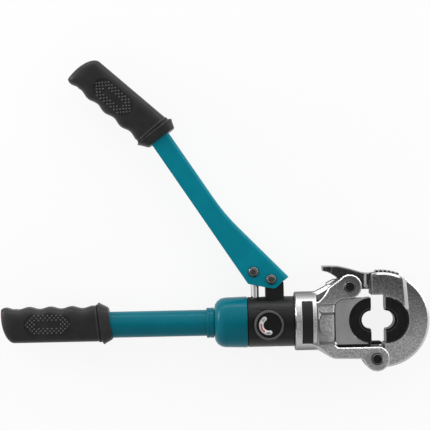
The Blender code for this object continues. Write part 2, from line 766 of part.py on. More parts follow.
def grip_mesh(side, flange_tilt):
    """Moulded grip along its own X from the flange to the heel, its finger side towards side times Y."""
    e = FLANGE_EDGE
    flange_sections = [
        (0.0, FLANGE_FRONT_HALF_HEIGHT, GRIP_HALF_THICKNESS - e),
        (e, FLANGE_FRONT_HALF_HEIGHT + e, GRIP_HALF_THICKNESS),
        (FLANGE_PEAK - 2 * e, FLANGE_HALF_HEIGHT - e, FLANGE_HALF_THICKNESS - e),
        (FLANGE_PEAK, FLANGE_HALF_HEIGHT, FLANGE_HALF_THICKNESS),
        (FLANGE_PEAK + e, FLANGE_HALF_HEIGHT - e, FLANGE_HALF_THICKNESS - e),
        (FLANGE_PEAK + 3 * e, GRIP_HALF_HEIGHT, GRIP_HALF_THICKNESS + 0.3 * e),
        (FLANGE_PEAK + 6 * e, GRIP_HALF_HEIGHT, GRIP_HALF_THICKNESS),
    ]
    stations = [(at, height, height, thickness) for at, height, thickness in flange_sections]
    per_groove = 4
    for index in range(GROOVE_COUNT * per_groove + 1):
        at = FIRST_RIDGE + GROOVE_PITCH * index / per_groove
        if at > GRIP_LENGTH - HEEL_LENGTH:
            break
        dip = GROOVE_DEPTH * (0.5 - 0.5 * math.cos(2 * math.pi * index / per_groove))
        stations.append((at, GRIP_HALF_HEIGHT - dip, GRIP_HALF_HEIGHT, GRIP_HALF_THICKNESS))
    heel_steps = 6
    for index in range(1, heel_steps + 1):
        turn = HEEL_TURN * index / heel_steps
        at = GRIP_LENGTH - HEEL_LENGTH + HEEL_LENGTH * math.sin(turn)
        shrink = 1 - math.cos(turn)
        dip = GROOVE_DEPTH * (0.5 + 0.5 * math.cos(math.pi * min(1.0, 2.0 * index / heel_steps)))
        top = GRIP_HALF_HEIGHT - dip - (GRIP_HALF_HEIGHT - HEEL_TIP_HEIGHT) * shrink ** 2
        bottom = GRIP_HALF_HEIGHT - (GRIP_HALF_HEIGHT + HEEL_TIP_HEIGHT - HEEL_RISE) * shrink
        stations.append((at, top, bottom, GRIP_HALF_THICKNESS * math.cos(turn) ** HEEL_SQUARENESS))
    blend_end = FIRST_RIDGE + FLANGE_BLEND
    mesh = bmesh.new()
    rings = []
    for at, top, bottom, half_thickness in stations:
        fade = min(1.0, max(0.0, (blend_end - at) / (blend_end - FLANGE_PEAK)))
        ring = []
        for index in range(GRIP_SECTION_POINTS):
            angle = 2 * math.pi * (index + 0.5) / GRIP_SECTION_POINTS
            power = 2 / GRIP_SQUARENESS
            across = math.copysign(abs(math.sin(angle)) ** power, math.sin(angle))
            up = math.copysign(abs(math.cos(angle)) ** power, math.cos(angle))
            height = (top - bottom) / 2 + up * (top + bottom) / 2
            slide = height * math.tan(flange_tilt) * fade
            ring.append(mesh.verts.new((at + slide, side * height, across * half_thickness)))
        rings.append(ring)
    mesh.faces.new(rings[0])
    mesh.faces.new(rings[-1])
    bridge(mesh, rings)
    return finished(mesh)


def pad_cutters(side):
    """Shallow stadium recesses for the dotted pads on a grip's two flanks."""
    straight = (PAD_LENGTH - PAD_WIDTH) / 2
    offset = PAD_OFFSET * side
    corners = arc(PAD_CENTRE + straight, offset, PAD_WIDTH / 2, -90, 90)
    corners += arc(PAD_CENTRE - straight, offset, PAD_WIDTH / 2, 90, 270)
    outline = rounded(corners)
    above = slab(outline, PAD_FLOOR, GRIP_HALF_THICKNESS + CUT_OVER)
    below = slab(outline, -GRIP_HALF_THICKNESS - CUT_OVER, -PAD_FLOOR)
    return [above, below]


def fixed_grip(body):
    """Grip on the fixed tube, its finger grooves facing the moving lever."""
    mesh = grip_mesh(-1, FIXED_FLANGE_TILT)
    bore_end = TUBE_IN_GRIP + CLEAR
    bore = rod(TUBE_RADIUS + CLEAR, -FLANGE_PEAK, bore_end, "X", (0, GRIP_LIFT, 0), BIG_ROUND)
    grip = shaped(mesh, (), [bore, *pad_cutters(-1)])
    place("fixed_grip", grip, "rubber", body, (GRIP_FRONT, GRIP_LIFT, 0), math.pi)


def ram_cylinder(body):
    """Steel cylinder screwed into the block, which the head turns on."""
    shoulder = CLEAR
    rear = -CYLINDER_SPIGOT_LENGTH
    ring_low = SWIVEL_RING_AT - SWIVEL_RING_WIDTH / 2 - CLEAR
    ring_high = SWIVEL_RING_AT + SWIVEL_RING_WIDTH / 2 + CLEAR
    profile = [
        (rear, CYLINDER_PORT),
        (rear, CYLINDER_SPIGOT_RADIUS),
        (shoulder, CYLINDER_SPIGOT_RADIUS),
        (shoulder, CYLINDER_RADIUS),
        (ring_low, CYLINDER_RADIUS),
        (ring_low, CYLINDER_RADIUS - SWIVEL_RING_DEPTH - CLEAR),
        (ring_high, CYLINDER_RADIUS - SWIVEL_RING_DEPTH - CLEAR),
        (ring_high, CYLINDER_RADIUS),
        (CYLINDER_FRONT, CYLINDER_RADIUS),
        (CYLINDER_FRONT, CYLINDER_BORE),
        (rear + CYLINDER_FLOOR, CYLINDER_BORE),
        (rear + CYLINDER_FLOOR, CYLINDER_PORT),
    ]
    place("ram_cylinder", turned(profile), "steel", body)


def swivel_ring(body):
    """Ring in the grooves of cylinder and head that lets the head turn but not come off."""
    low = SWIVEL_RING_AT - SWIVEL_RING_WIDTH / 2
    high = SWIVEL_RING_AT + SWIVEL_RING_WIDTH / 2
    inner = CYLINDER_RADIUS - SWIVEL_RING_DEPTH
    outer = CYLINDER_RADIUS + SWIVEL_RING_DEPTH
    place("swivel_ring", ring_body(inner, outer, low, high, count=BIG_ROUND), "steel", body)


def plunger_packing(body):
    """Gland and lip seal round the plunger, in the block's top."""
    at = (PLUNGER_X, 0, 0)
    inner = PLUNGER_RADIUS + CLEAR
    gland_low = GLAND_SEAT_Y - GLAND_HEIGHT
    gland = ring_body(inner, GLAND_RADIUS, gland_low, GLAND_SEAT_Y, "Y", at)
    place("plunger_gland", gland, "dark_steel", body)
    seal_high = gland_low - CLEAR
    seal_low = seal_high - SEAL_HEIGHT
    place("plunger_seal", ring_body(inner, SEAL_RADIUS, seal_low, seal_high, "Y", at), "seal_rubber", body)


def check_valves(body):
    """Balls and springs of the suction and delivery valves."""
    wire_radius = BALL_RADIUS - VALVE_WIRE
    suction_start = SPIGOT_REAR + HOLLOW_DEPTH + CLEAR
    ball_at = (suction_start + BALL_RADIUS, SUCTION_Y, 0)
    place("suction_ball", ball(BALL_RADIUS), "steel", body, ball_at)
    low = suction_start + 2 * BALL_RADIUS + CLEAR
    spring = coil(wire_radius, VALVE_WIRE, 4, low, low + VALVE_SPRING_LENGTH, "X", (0, SUCTION_Y, 0), 6, 3)
    place("suction_spring", spring, "steel", body)
    end = -CYLINDER_SPIGOT_LENGTH - CLEAR
    spring = coil(wire_radius, VALVE_WIRE, 4, end - VALVE_SPRING_LENGTH, end, "X", (0, DELIVERY_Y, 0), 6, 3)
    place("delivery_spring", spring, "steel", body)
    ball_at = (end - VALVE_SPRING_LENGTH - CLEAR - BALL_RADIUS, DELIVERY_Y, 0)
    place("delivery_ball", ball(BALL_RADIUS), "steel", body, ball_at)


def ball(radius, steps=4):
    """Steel ball."""
    angles = [math.pi * index / steps for index in range(steps + 1)]
    profile = [(-radius * math.cos(angle), radius * math.sin(angle)) for angle in angles[1:-1]]
    return turned([(-radius, 0), *profile, (radius, 0)], count=8)


def relief_valve(body):
    """Pressure relief poppet, its spring and its set screw, up from the block's underside."""
    top = -BLOCK_RADIUS + RELIEF_DEPTH - CLEAR
    poppet_low = top - RELIEF_POPPET_LENGTH
    r = RELIEF_RADIUS
    poppet = turned(
        [(poppet_low, 0), (poppet_low, r), (top - 0.5 * r, r), (top, 0.3 * r), (top, 0)], "Y", SMALL_ROUND
    )
    place("relief_poppet", poppet, "steel", body, (RELIEF_X, 0, 0))
    screw_low = -BLOCK_RADIUS + RELIEF_SCREW_SINK
    screw_high = screw_low + RELIEF_SCREW_LENGTH
    screw = shaped(
        rod(r, screw_low, screw_high, "Y"),
        (),
        [moved(slab(circle(0, 0, 0.5 * r, 6), -CUT_OVER, SCREW_SOCKET_DEPTH), turn_to_y(screw_low))],
    )
    place("relief_screw", screw, "dark_steel", body, (RELIEF_X, 0, 0))
    spring = coil(r - VALVE_WIRE, VALVE_WIRE, 4, screw_high + CLEAR, poppet_low - CLEAR, "Y", (0, 0, 0), 6, 3)
    place("relief_spring", spring, "steel", body, (RELIEF_X, 0, 0))


def turn_to_y(along):
    """Turn that stands a slab's height along Y, starting at a place on Y."""
    return Matrix.Translation((0, along, 0)) @ Matrix.Rotation(-math.pi / 2, 4, "X")


def bolt(low, high):
    """Bolt with a domed head above and a hexagon socket, its shank from low to high."""
    r = BOLT_HEAD_RADIUS
    h = BOLT_HEAD_HEIGHT
    profile = [(low, 0), (low, BOLT_RADIUS), (high, BOLT_RADIUS), (high, r), (high + 0.25 * h, r)]
    profile += [(high + 0.7 * h, 0.85 * r), (high + h, 0.55 * r), (high + h, 0)]
    body = turned(profile, "Z", SMALL_ROUND)
    socket = slab(circle(0, 0, BOLT_SOCKET_RADIUS, 6), high + 0.4 * h, high + h + CUT_OVER)
    return shaped(body, (), [socket])


def nut(low, high):
    """Hexagon nut on a bolt's shank."""
    return shaped(
        slab(circle(0, 0, NUT_RADIUS, 6), low, high, NUT_CHAMFER),
        (),
        [rod(BOLT_RADIUS + CLEAR, low - CUT_OVER, high + CUT_OVER, "Z")],
    )


def lever_bolt(body):
    """Pivot bolt of the lever, with its nut and the bush in the lug."""
    half = LEVER_WIDTH / 2
    low = -half - NUT_HEIGHT - 2 * CLEAR
    place("lever_pivot_bolt", bolt(low, half + CLEAR), "dark_steel", body, LEVER_PIVOT)
    place("lever_pivot_nut", nut(-half - NUT_HEIGHT - CLEAR, -half - CLEAR), "dark_steel", body, LEVER_PIVOT)
    inner = BOLT_RADIUS + CLEAR
    bush = ring_body(inner, inner + BUSH_WALL, -LUG_HALF_THICKNESS, LUG_HALF_THICKNESS, "Z")
    place("lever_bush", bush, "bronze", body, LEVER_PIVOT)


# Moving lever


def lever_stations():
    """Sections of the channel along the lever: web point, direction from web to open edge, and depth."""
    web = LEVER_OPEN_EDGE + LEVER_DEPTH
    slope = math.atan2(LEVER_TIP_N - web, LEVER_FLARE_AT - LEVER_TIP_S)
    flare_end = LEVER_FLARE_AT + LEVER_FLARE_RADIUS * math.tan(slope / 2)
    start = LEVER_TIP_S - LEVER_TRIM
    points = [Vector((start, web + (LEVER_FLARE_AT - start) * math.tan(slope)))]
    flare_steps = 4
    for index in range(flare_steps + 1):
        angle = slope * (1 - index / flare_steps)
        along = flare_end - LEVER_FLARE_RADIUS * math.sin(angle)
        points.append(Vector((along, web + LEVER_FLARE_RADIUS * (1 - math.cos(angle)))))
    down = Vector((0, -1))
    stations = [(point, down, point.y - LEVER_OPEN_EDGE) for point in points]
    middle = LEVER_OPEN_EDGE + LEVER_DEPTH / 2
    bend_start = LEVER_BEND_AT - LEVER_BEND_RADIUS * math.tan(LEVER_BEND / 2)
    centre = Vector((bend_start, middle - LEVER_BEND_RADIUS))
    bend_steps = 3
    for index in range(bend_steps + 1):
        angle = LEVER_BEND * index / bend_steps
        outward = Vector((math.sin(angle), math.cos(angle)))
        web_point = centre + outward * (LEVER_BEND_RADIUS + LEVER_DEPTH / 2)
        stations.append((web_point, -outward, LEVER_DEPTH))
    along = Vector((math.cos(LEVER_BEND), -math.sin(LEVER_BEND)))
    stations.append((stations[-1][0] + along * LEVER_IN_GRIP, stations[-1][1], LEVER_DEPTH))
    return stations


def channel_side(half, radius, depth, growth=0.0, steps=3):
    """One side of a channel's section as (z, distance from the web), from the open edge to the bend's end."""
    side = [(half + growth, depth + growth)]
    for index in range(steps + 1):
        angle = math.pi / 2 * index / steps
        z = half - radius + (radius + growth) * math.cos(angle)
        down = radius - (radius + growth) * math.sin(angle)
        side.append((z, down))
    return side


def lever_loft(section, stations):
    """Body through sections (z, distance from the web) at the lever's stations."""
    mesh = bmesh.new()
    rings = []
    for web_point, down, depth in stations:
        ring = []
        for z, away in section(depth):
            point = web_point + down * away
            ring.append(mesh.verts.new((point.x, point.y, z)))
        rings.append(ring)
    mesh.faces.new(rings[0])
    mesh.faces.new(rings[-1])
    bridge(mesh, rings)
    return finished(mesh)


def channel_section(depth):
    """Section of the pressed channel: outer skin, then inner skin."""
    outer = channel_side(LEVER_WIDTH / 2, LEVER_EDGE_ROUND, depth)
    inner = channel_side(LEVER_INNER_HALF, LEVER_EDGE_ROUND - LEVER_SHEET, depth - LEVER_SHEET)
    inner = [(z, away + LEVER_SHEET) for z, away in inner]
    skin = outer + [(-z, away) for z, away in reversed(outer)]
    lining = [(-z, away) for z, away in inner] + list(reversed(inner))
    return skin + lining


def pocket_section(depth):
    """Section of the room that the channel takes in the grip."""
    outer = channel_side(LEVER_WIDTH / 2, LEVER_EDGE_ROUND, depth, CLEAR)
    return outer + [(-z, away) for z, away in reversed(outer)]


def lever_end_cut():
    """What is trimmed off the channel's bolted end, seen from the side."""
    far = LEVER_TIP_S - 4 * LEVER_TRIM
    low = LEVER_OPEN_EDGE - LEVER_TRIM
    high = LEVER_TIP_N + LEVER_TRIM
    return rounded([
        (LEVER_CUT_S, low, 0),
        *LEVER_END,
        (LEVER_TIP_S, high, 0),
        (far, high, 0),
        (far, low, 0),
    ])


def lever_frame():
    """Turn from the lever's own frame, s and n, to the tool's directions."""
    u = Vector((math.cos(LEVER_ANGLE), math.sin(LEVER_ANGLE), 0))
    n = Vector((math.sin(LEVER_ANGLE), -math.cos(LEVER_ANGLE), 0))
    return Matrix((u, n, (0, 0, 1))).transposed().to_4x4()


def lever_channel(body):
    """Teal channel with its web on the outer side and its open side towards the fixed handle."""
    blank = lever_loft(channel_section, lever_stations())
    trim = slab(lever_end_cut(), -LEVER_WIDTH, LEVER_WIDTH)
    pivot_hole = rod(BOLT_RADIUS + CLEAR, -LEVER_WIDTH, LEVER_WIDTH, "Z")
    pin_hole = rod(BOLT_RADIUS + CLEAR, -LEVER_WIDTH, LEVER_WIDTH, "Z", (PLUNGER_PIN_S, PLUNGER_PIN_N, 0))
    channel = shaped(blank, (), [trim, pivot_hole, pin_hole])
    place("lever_channel", moved(channel, lever_frame()), "teal_paint", body, LEVER_PIVOT)


def grip_place():
    """Where the moving grip's front end stands, and its turn."""
    angle = LEVER_ANGLE + LEVER_BEND
    bend = LEVER_PIVOT + lever_frame() @ Vector((LEVER_BEND_AT, LEVER_OPEN_EDGE + LEVER_DEPTH / 2, 0))
    direction = Vector((math.cos(angle), math.sin(angle), 0))
    return bend - direction * GRIP_BEFORE_BEND, angle


def moving_grip(body):
    """Grip on the lever's end, its finger grooves facing the fixed handle."""
    at, angle = grip_place()
    to_grip = (Matrix.Translation(at) @ Matrix.Rotation(angle, 4, "Z")).inverted()
    from_lever = Matrix.Translation(LEVER_PIVOT) @ lever_frame()
    stations = lever_stations()[-5:]
    end, down, depth = stations[-1]
    along = Vector((-down.y, down.x))
    stations[-1] = (end + along * CLEAR, down, depth)
    pocket = moved(lever_loft(pocket_section, stations), to_grip @ from_lever)
    grip = shaped(grip_mesh(1, MOVING_FLANGE_TILT), (), [pocket, *pad_cutters(1)])
    place("moving_grip", grip, "rubber", body, at, angle)


def plunger_pin(body):
    """Bolt and nut that drive the plunger's eye."""
    half = LEVER_WIDTH / 2
    at = LEVER_PIVOT + lever_frame() @ Vector((PLUNGER_PIN_S, PLUNGER_PIN_N, 0))
    low = -half - NUT_HEIGHT - 2 * CLEAR
    place("plunger_pin_bolt", bolt(low, half + CLEAR), "dark_steel", body, at)
    place("plunger_pin_nut", nut(-half - NUT_HEIGHT - CLEAR, -half - CLEAR), "dark_steel", body, at)


def pump_plunger(body):
    """Polished plunger with a slotted eye for the pin that drives it."""
    pin = LEVER_PIVOT + lever_frame() @ Vector((PLUNGER_PIN_S, PLUNGER_PIN_N, 0))
    half_length = SLOT_LENGTH / 2 + EYE_WALL
    half_height = SLOT_HEIGHT / 2 + EYE_WALL
    eye = slab(
        stadium(EYE_CENTRE_X, pin.y, half_length, half_height),
        -EYE_THICKNESS / 2,
        EYE_THICKNESS / 2,
        PLUNGER_CHAMFER,
    )
    slot = slab(stadium(EYE_CENTRE_X, pin.y, SLOT_LENGTH / 2, SLOT_HEIGHT / 2), -EYE_THICKNESS, EYE_THICKNESS)
    stem_high = pin.y - SLOT_HEIGHT / 2 - STEM_UNDER_SLOT
    stem = rod(PLUNGER_RADIUS, PLUNGER_TIP_Y, stem_high, "Y", (PLUNGER_X, 0, 0), chamfer=PLUNGER_CHAMFER)
    place("pump_plunger", shaped(stem, [eye], [slot]), "steel", body)


def stadium(x, y, half_length, half_height):
    """Outline with two straight sides along X and round ends."""
    straight = half_length - half_height
    corners = arc(x + straight, y, half_height, -90, 90)
    corners += arc(x - straight, y, half_height, 90, 270)
    return [Vector(corner[:2]) for corner in corners]


# Release knob


def release_knob(body):
    """Flat round knob with a raised rim round its dial."""
    low = KNOB_SEAT_Z + CLEAR
    top = KNOB_TOP_Z
    c = KNOB_CHAMFER
    dial = KNOB_RADIUS - KNOB_RIM
    needle_hole = NEEDLE_RADIUS + CLEAR
    profile = [
        (top - NEEDLE_IN_KNOB, 0),
        (top - NEEDLE_IN_KNOB, needle_hole),
        (low, needle_hole),
        (low, KNOB_RADIUS - KNOB_FOOT),
        (low + KNOB_FOOT, KNOB_RADIUS),
        (top - c, KNOB_RADIUS),
        (top - 0.3 * c, KNOB_RADIUS - 0.35 * c),
        (top, KNOB_RADIUS - c),
        (top, dial + DIAL_SLOPE),
        (top - KNOB_RECESS, dial),
        (top - KNOB_RECESS, 0),
    ]
    place("release_knob", turned(profile, "Z"), "knob_plastic", body, KNOB_AT)


def release_needle(body):
    """Needle valve stem under the knob."""
    high = KNOB_TOP_Z - NEEDLE_IN_KNOB - CLEAR
    r = NEEDLE_RADIUS
    profile = [
        (NEEDLE_TIP_Z, 0),
        (NEEDLE_TIP_Z, 0.2 * r),
        (NEEDLE_TIP_Z + r, r),
        (high, r),
        (high, 0),
    ]
    place("release_needle", turned(profile, "Z", SMALL_ROUND), "steel", body, KNOB_AT)


# Head


def cheek_outline():
    """Side view of the head: neck, upper ear for the latch, lower arm and lower ear for the jaw."""
    corners = [(NECK_REAR, -CHEEK_REAR_LOW, 0), (HEAD_COLLAR_LENGTH, -CHEEK_NECK_LOW, 0)]
    corners += [(ARM_CORNER_X, ARM_BOTTOM + ARM_CORNER_RISE, ARM_CORNER_ROUND)]
    corners += [(JAW_PIVOT_X - JAW_EAR_RADIUS - JAW_EAR_LEAD, ARM_BOTTOM, WINDOW_ROUND)]
    corners += arc(JAW_PIVOT_X, JAW_PIVOT_Y, JAW_EAR_RADIUS, 205, 430)
    corners += [(WINDOW_LEFT, ARM_TOP, WINDOW_ROUND), (WINDOW_LEFT, WINDOW_TOP, WINDOW_TOP_ROUND)]
    corners += arc(LATCH_PIVOT_X, LATCH_PIVOT_Y, LATCH_EAR_RADIUS, -91, 118)
    corners += CHEEK_BACK
    corners += [(HEAD_COLLAR_LENGTH, CHEEK_REAR_HIGH, 0), (NECK_REAR, CHEEK_REAR_HIGH, 0)]
    return rounded(corners)


def core_outline():
    """Middle web of the neck, which flares from the collar to the upper arm."""
    edge = HEAD_CORE_EDGE
    return rounded([
        (NECK_REAR, -CORE_REAR_HALF_HEIGHT, 0),
        *CORE_BELLY,
        (WINDOW_LEFT + edge, ARM_BOTTOM + edge, 0),
        (WINDOW_LEFT - CLEAR, ARM_TOP - edge, 0),
        (WINDOW_LEFT - CLEAR, WINDOW_TOP, 0),
        *CORE_BACK,
        (NECK_REAR, CORE_REAR_HALF_HEIGHT, 0),
    ])


def rail(low, high, y_low, y_high, half, chamfer=0.0):
    """Straight block along X."""
    corners = [(low, y_low), (high, y_low), (high, y_high), (low, y_high)]
    return slab([Vector(corner) for corner in corners], -half, half, chamfer)


def latch_slot_outline():
    """Room between the upper ears for the latch's hub and the way its tail dips."""
    x, y = LATCH_PIVOT_X, LATCH_PIVOT_Y
    corners = arc(x, y, LATCH_SLOT_RADIUS, 168, 222)
    far = 2 * LATCH_SLOT_RADIUS
    low = WINDOW_TOP - LATCH_SLOT_SINK
    corners += [(x - LATCH_EAR_RADIUS / 2, low, 0), (x + far, low, 0), (x + far, y + far, 0)]
    corners += [(x - far, y + far, 0), (x - far, y + LATCH_SLOT_RISE, 0)]
    return rounded(corners)


def head_frame(body):
    """Forged head: a round collar, a neck and two forked ears."""
    c = HEAD_COLLAR_EDGE
    r = HEAD_COLLAR_RADIUS
    front = HEAD_COLLAR_LENGTH
    collar = turned([
        (CLEAR, 0),
        (CLEAR, r - c),
        (CLEAR + c, r),
        (front - HEAD_COLLAR_SLOPE, r),
        (front, r - HEAD_COLLAR_DROP),
        (front, 0),
    ])
    half = HEAD_HALF_THICKNESS
    cheeks = slab(cheek_outline(), -half, half, HEAD_EDGE)
    core_half = HEAD_CORE_HALF_THICKNESS
    core = slab(core_outline(), -core_half, core_half, HEAD_CORE_EDGE)
    latch_slot = slab(
        latch_slot_outline(), -LATCH_HUB_HALF_THICKNESS - CLEAR, LATCH_HUB_HALF_THICKNESS + CLEAR
    )
    tongue_half = JAW_TONGUE_HALF_THICKNESS + CLEAR
    jaw_slot_left = JAW_PIVOT_X - JAW_EAR_RADIUS - JAW_SLOT_SPARE
    far = 2 * JAW_EAR_RADIUS
    jaw_slot = rail(jaw_slot_left, JAW_PIVOT_X + far, JAW_PIVOT_Y - far, RAIL_TOP, tongue_half)
    ring_low = SWIVEL_RING_AT - SWIVEL_RING_WIDTH / 2 - CLEAR
    ring_high = SWIVEL_RING_AT + SWIVEL_RING_WIDTH / 2 + CLEAR
    bore = CYLINDER_RADIUS + CLEAR
    groove = CYLINDER_RADIUS + SWIVEL_RING_DEPTH + CLEAR
    bores = turned([
        (-CUT_OVER, 0),
        (-CUT_OVER, bore),
        (ring_low, bore),
        (ring_low, groove),
        (ring_high, groove),
        (ring_high, bore),
        (CYLINDER_FRONT + CLEAR, bore),
        (CYLINDER_FRONT + CLEAR, ROD_RADIUS + CLEAR),
        (BUSH_REAR - CLEAR, ROD_RADIUS + CLEAR),
        (BUSH_REAR - CLEAR, BUSH_RADIUS + CLEAR),
        (WINDOW_LEFT + CUT_OVER, BUSH_RADIUS + CLEAR),
        (WINDOW_LEFT + CUT_OVER, 0),
    ])
    jaw_hole = rod(PIN_HOLE_RADIUS, -2 * half, 2 * half, "Z", JAW_PIVOT)
    latch_hole = rod(PIN_HOLE_RADIUS, -2 * half, 2 * half, "Z", LATCH_PIVOT)
    tongue_low = ARM_TOP - BAR_TONGUE_DEPTH - CLEAR
    bar_groove = rail(
        BAR_REAR, BAR_TONGUE_FRONT + CLEAR, tongue_low, ARM_TOP + CUT_OVER, KEY_HALF_WIDTH + CLEAR
    )
    blank = shaped(collar, [core, cheeks], [neck_pocket(1), neck_pocket(-1), neck_corner(1), neck_corner(-1)])
    bosses = [neck_boss(1), neck_boss(-1), neck_wedge(1), neck_wedge(-1)]
    cuts = [bores, latch_slot, jaw_slot, jaw_hole, latch_hole, bar_groove]
    place("head_frame", shaped(blank, bosses, cuts), "chrome", body)


def mirrored(mesh, side):
    """Mesh left as it is, or turned over to the head's other flank where side is negative."""
    return moved(mesh, Matrix.Diagonal((1, 1, side, 1)))


def neck_pocket(side):
    """What is machined off the neck's flank: a leaning ledge, a flat floor and a leaning band under it."""
    top = HEAD_HALF_THICKNESS
    section = [
        (NECK_LEDGE_TOP + NECK_LEDGE_SINK / 2, top + CUT_OVER),
        (NECK_LEDGE_TOP, top - NECK_LEDGE_SINK),
        (NECK_LEDGE_LOW, top - NECK_LEDGE_HIGH),
        (NECK_LEDGE_LOW - NECK_STEP, NECK_FLOOR),
        (NECK_BOSS_BOTTOM, NECK_FLOOR),
        (NECK_BAND_LOW, NECK_FLOOR - NECK_BAND_SINK),
        (NECK_BAND_END, top + CUT_OVER),
    ]
    stations = [(HEAD_COLLAR_LENGTH, 0), (WINDOW_LEFT - NECK_RIM, 0), (WINDOW_LEFT + NECK_RIM, 2 * NECK_RIM)]
    mesh = bmesh.new()
    rings = []
    for x, sink in stations:
        rings.append([mesh.verts.new((x, y, z - (sink if z <= top else 0))) for y, z in section])
    mesh.faces.new(rings[0])
    mesh.faces.new(rings[-1])
    bridge(mesh, rings)
    return mirrored(finished(mesh), side)


def wedge_corners():
    """Places (x, y) of the small leaning facet between the collar, the ledge and the boss."""
    front = HEAD_COLLAR_LENGTH
    tip = (front + NECK_WEDGE_LENGTH, NECK_WEDGE_TIP_Y)
    return [(front, NECK_WEDGE_HIGH_Y), (front, NECK_WEDGE_LOW_Y), tip]


def neck_corner(side):
    """Corner taken off the ledge where the small facet stands."""
    outline = [Vector(corner) for corner in wedge_corners()]
    return mirrored(slab(outline, NECK_FLOOR, HEAD_HALF_THICKNESS + CUT_OVER), side)


def neck_wedge(side):
    """Small facet that leans from the collar's front down to the neck's floor."""
    high, low, tip = wedge_corners()
    inside = HEAD_COLLAR_LENGTH - HEAD_COLLAR_SLOPE / 2
    foot = NECK_FLOOR - NECK_WEDGE_RISE
    mesh = bmesh.new()
    for x, y in (high, low):
        mesh.verts.new((x, y, NECK_FLOOR + NECK_WEDGE_RISE))
        mesh.verts.new((inside, y, NECK_FLOOR + NECK_WEDGE_RISE))
        mesh.verts.new((inside, y, foot))
    mesh.verts.new((*tip, NECK_FLOOR + CLEAR))
    mesh.verts.new((*tip, foot))
    bmesh.ops.convex_hull(mesh, input=mesh.verts)
    return mirrored(finished(mesh), side)


def neck_boss(side):
    """Flat boss on the neck's floor, rounded towards the collar."""
    front = WINDOW_LEFT - NECK_RIM
    low, tip = wedge_corners()[1:]
    outline = rounded([
        (front, NECK_BOSS_BOTTOM, 0),
        (front, NECK_BOSS_TOP, 0),
        (tip[0] + 2 * CLEAR, NECK_BOSS_TOP, 0),
        (NECK_BOSS_LEFT, low[1], 0),
        (NECK_BOSS_LEFT, NECK_BOSS_BOTTOM, NECK_BOSS_ROUND),
    ])
    boss = slab(outline, NECK_FLOOR - NECK_BOSS_HEIGHT, NECK_FLOOR + NECK_BOSS_HEIGHT, NECK_BOSS_EDGE)
    return mirrored(boss, side)


def rod_bush(body):
    """Bronze bush that guides the piston rod in the neck."""
    inner = ROD_RADIUS + CLEAR
    place("rod_bush", ring_body(inner, BUSH_RADIUS, BUSH_REAR, BUSH_FRONT, count=BIG_ROUND), "bronze", body)


def guide_key(body):
    """Black bar on the lower arm with a ridge that the ram and the moving die run on."""
    low = RAIL_TOP - (KEY_HEIGHT - KEY_STAND)
    corners = [(KEY_REAR, low, 0), (KEY_FRONT - KEY_NOSE, low, 0), (KEY_FRONT, RAIL_TOP, 0)]
    corners += [(KEY_FRONT - KEY_NOSE, low + KEY_HEIGHT, KEY_NOSE / 2), (KEY_REAR, low + KEY_HEIGHT, 0)]
    ridge = slab(rounded(corners), -KEY_HALF_WIDTH, KEY_HALF_WIDTH, KEY_CHAMFER)
    bar = rail(BAR_REAR, BAR_FRONT, BAR_BOTTOM, RAIL_TOP, RAIL_HALF_THICKNESS, KEY_CHAMFER)
    tongue_low = ARM_TOP - BAR_TONGUE_DEPTH
    tongue = rail(BAR_REAR + KEY_NOSE, BAR_TONGUE_FRONT, tongue_low, RAIL_TOP - KEY_CHAMFER, KEY_HALF_WIDTH)
    place("guide_key", shaped(bar, [ridge, tongue]), "black_metal", body)


def pivot_pin(name, body, at):
    """Pin through two ears, grooved at both ends for its circlips."""
    end = HEAD_HALF_THICKNESS + PIN_STAND
    low = HEAD_HALF_THICKNESS + CLEAR / 2
    high = low + CIRCLIP_THICKNESS + CLEAR
    groove = PIN_RADIUS - CIRCLIP_GROOVE
    c = PIN_CHAMFER
    half = [
        (low, PIN_RADIUS),
        (low, groove),
        (high, groove),
        (high, PIN_RADIUS),
        (end - c, PIN_RADIUS),
        (end, PIN_RADIUS - c),
    ]
    profile = [(-along, radius) for along, radius in reversed(half)] + half
    profile = [(-end, 0), *profile, (end, 0)]
    place(name, turned(profile, "Z", SMALL_ROUND), "black_metal", body, at)


def circlips(body):
    """Open circlips, one at each end of the two pins."""
    inner = PIN_RADIUS - CIRCLIP_GROOVE + CLEAR
    outer = PIN_RADIUS - CIRCLIP_GROOVE + CIRCLIP_WIDTH
    low = HEAD_HALF_THICKNESS + CLEAR
    high = low + CIRCLIP_THICKNESS
    for pin, at, gap_at in (("jaw_pin", JAW_PIVOT, 0.0), ("latch_pin", LATCH_PIVOT, 160.0)):
        start = gap_at + math.degrees(CIRCLIP_GAP) / 2
        end = gap_at + 360 - math.degrees(CIRCLIP_GAP) / 2
        corners = arc(0, 0, outer, start, end) + arc(0, 0, inner, end, start)
        outline = [Vector(corner[:2]) for corner in corners]
        place(f"{pin}_circlip_top", slab(outline, low, high), "black_metal", body, at)
        place(f"{pin}_circlip_bottom", slab(outline, -high, -low), "black_metal", body, at)


def latch_spring(body):
    """Torsion spring round the latch's pin, one leg in the latch and one that leans on the neck."""
    wire = LATCH_SPRING_WIRE
    radius = LATCH_SPRING_RADIUS
    low = LATCH_SPRING_FLOOR + CLEAR + wire
    high = LATCH_HUB_HALF_THICKNESS - CLEAR - wire
    start = math.radians(LATCH_SPRING_START)
    end = math.radians(LATCH_SPRING_END)
    reach = math.sqrt((LATCH_SLOT_RADIUS - wire - CLEAR) ** 2 - radius ** 2)
    path = [LATCH_PIVOT + Vector((-reach, -radius, low)), LATCH_PIVOT + Vector((-reach / 2, -radius, low))]
    steps = 24
    for index in range(steps + 1):
        angle = start + (end - start) * index / steps
        lift = low + (high - low) * index / steps
        path.append(LATCH_PIVOT + Vector((radius * math.cos(angle), radius * math.sin(angle), lift)))
    path += [Vector((x, y, high)) for x, y in NECK_LEG]
    place("latch_spring", swept(path, wire), "dark_steel", body)


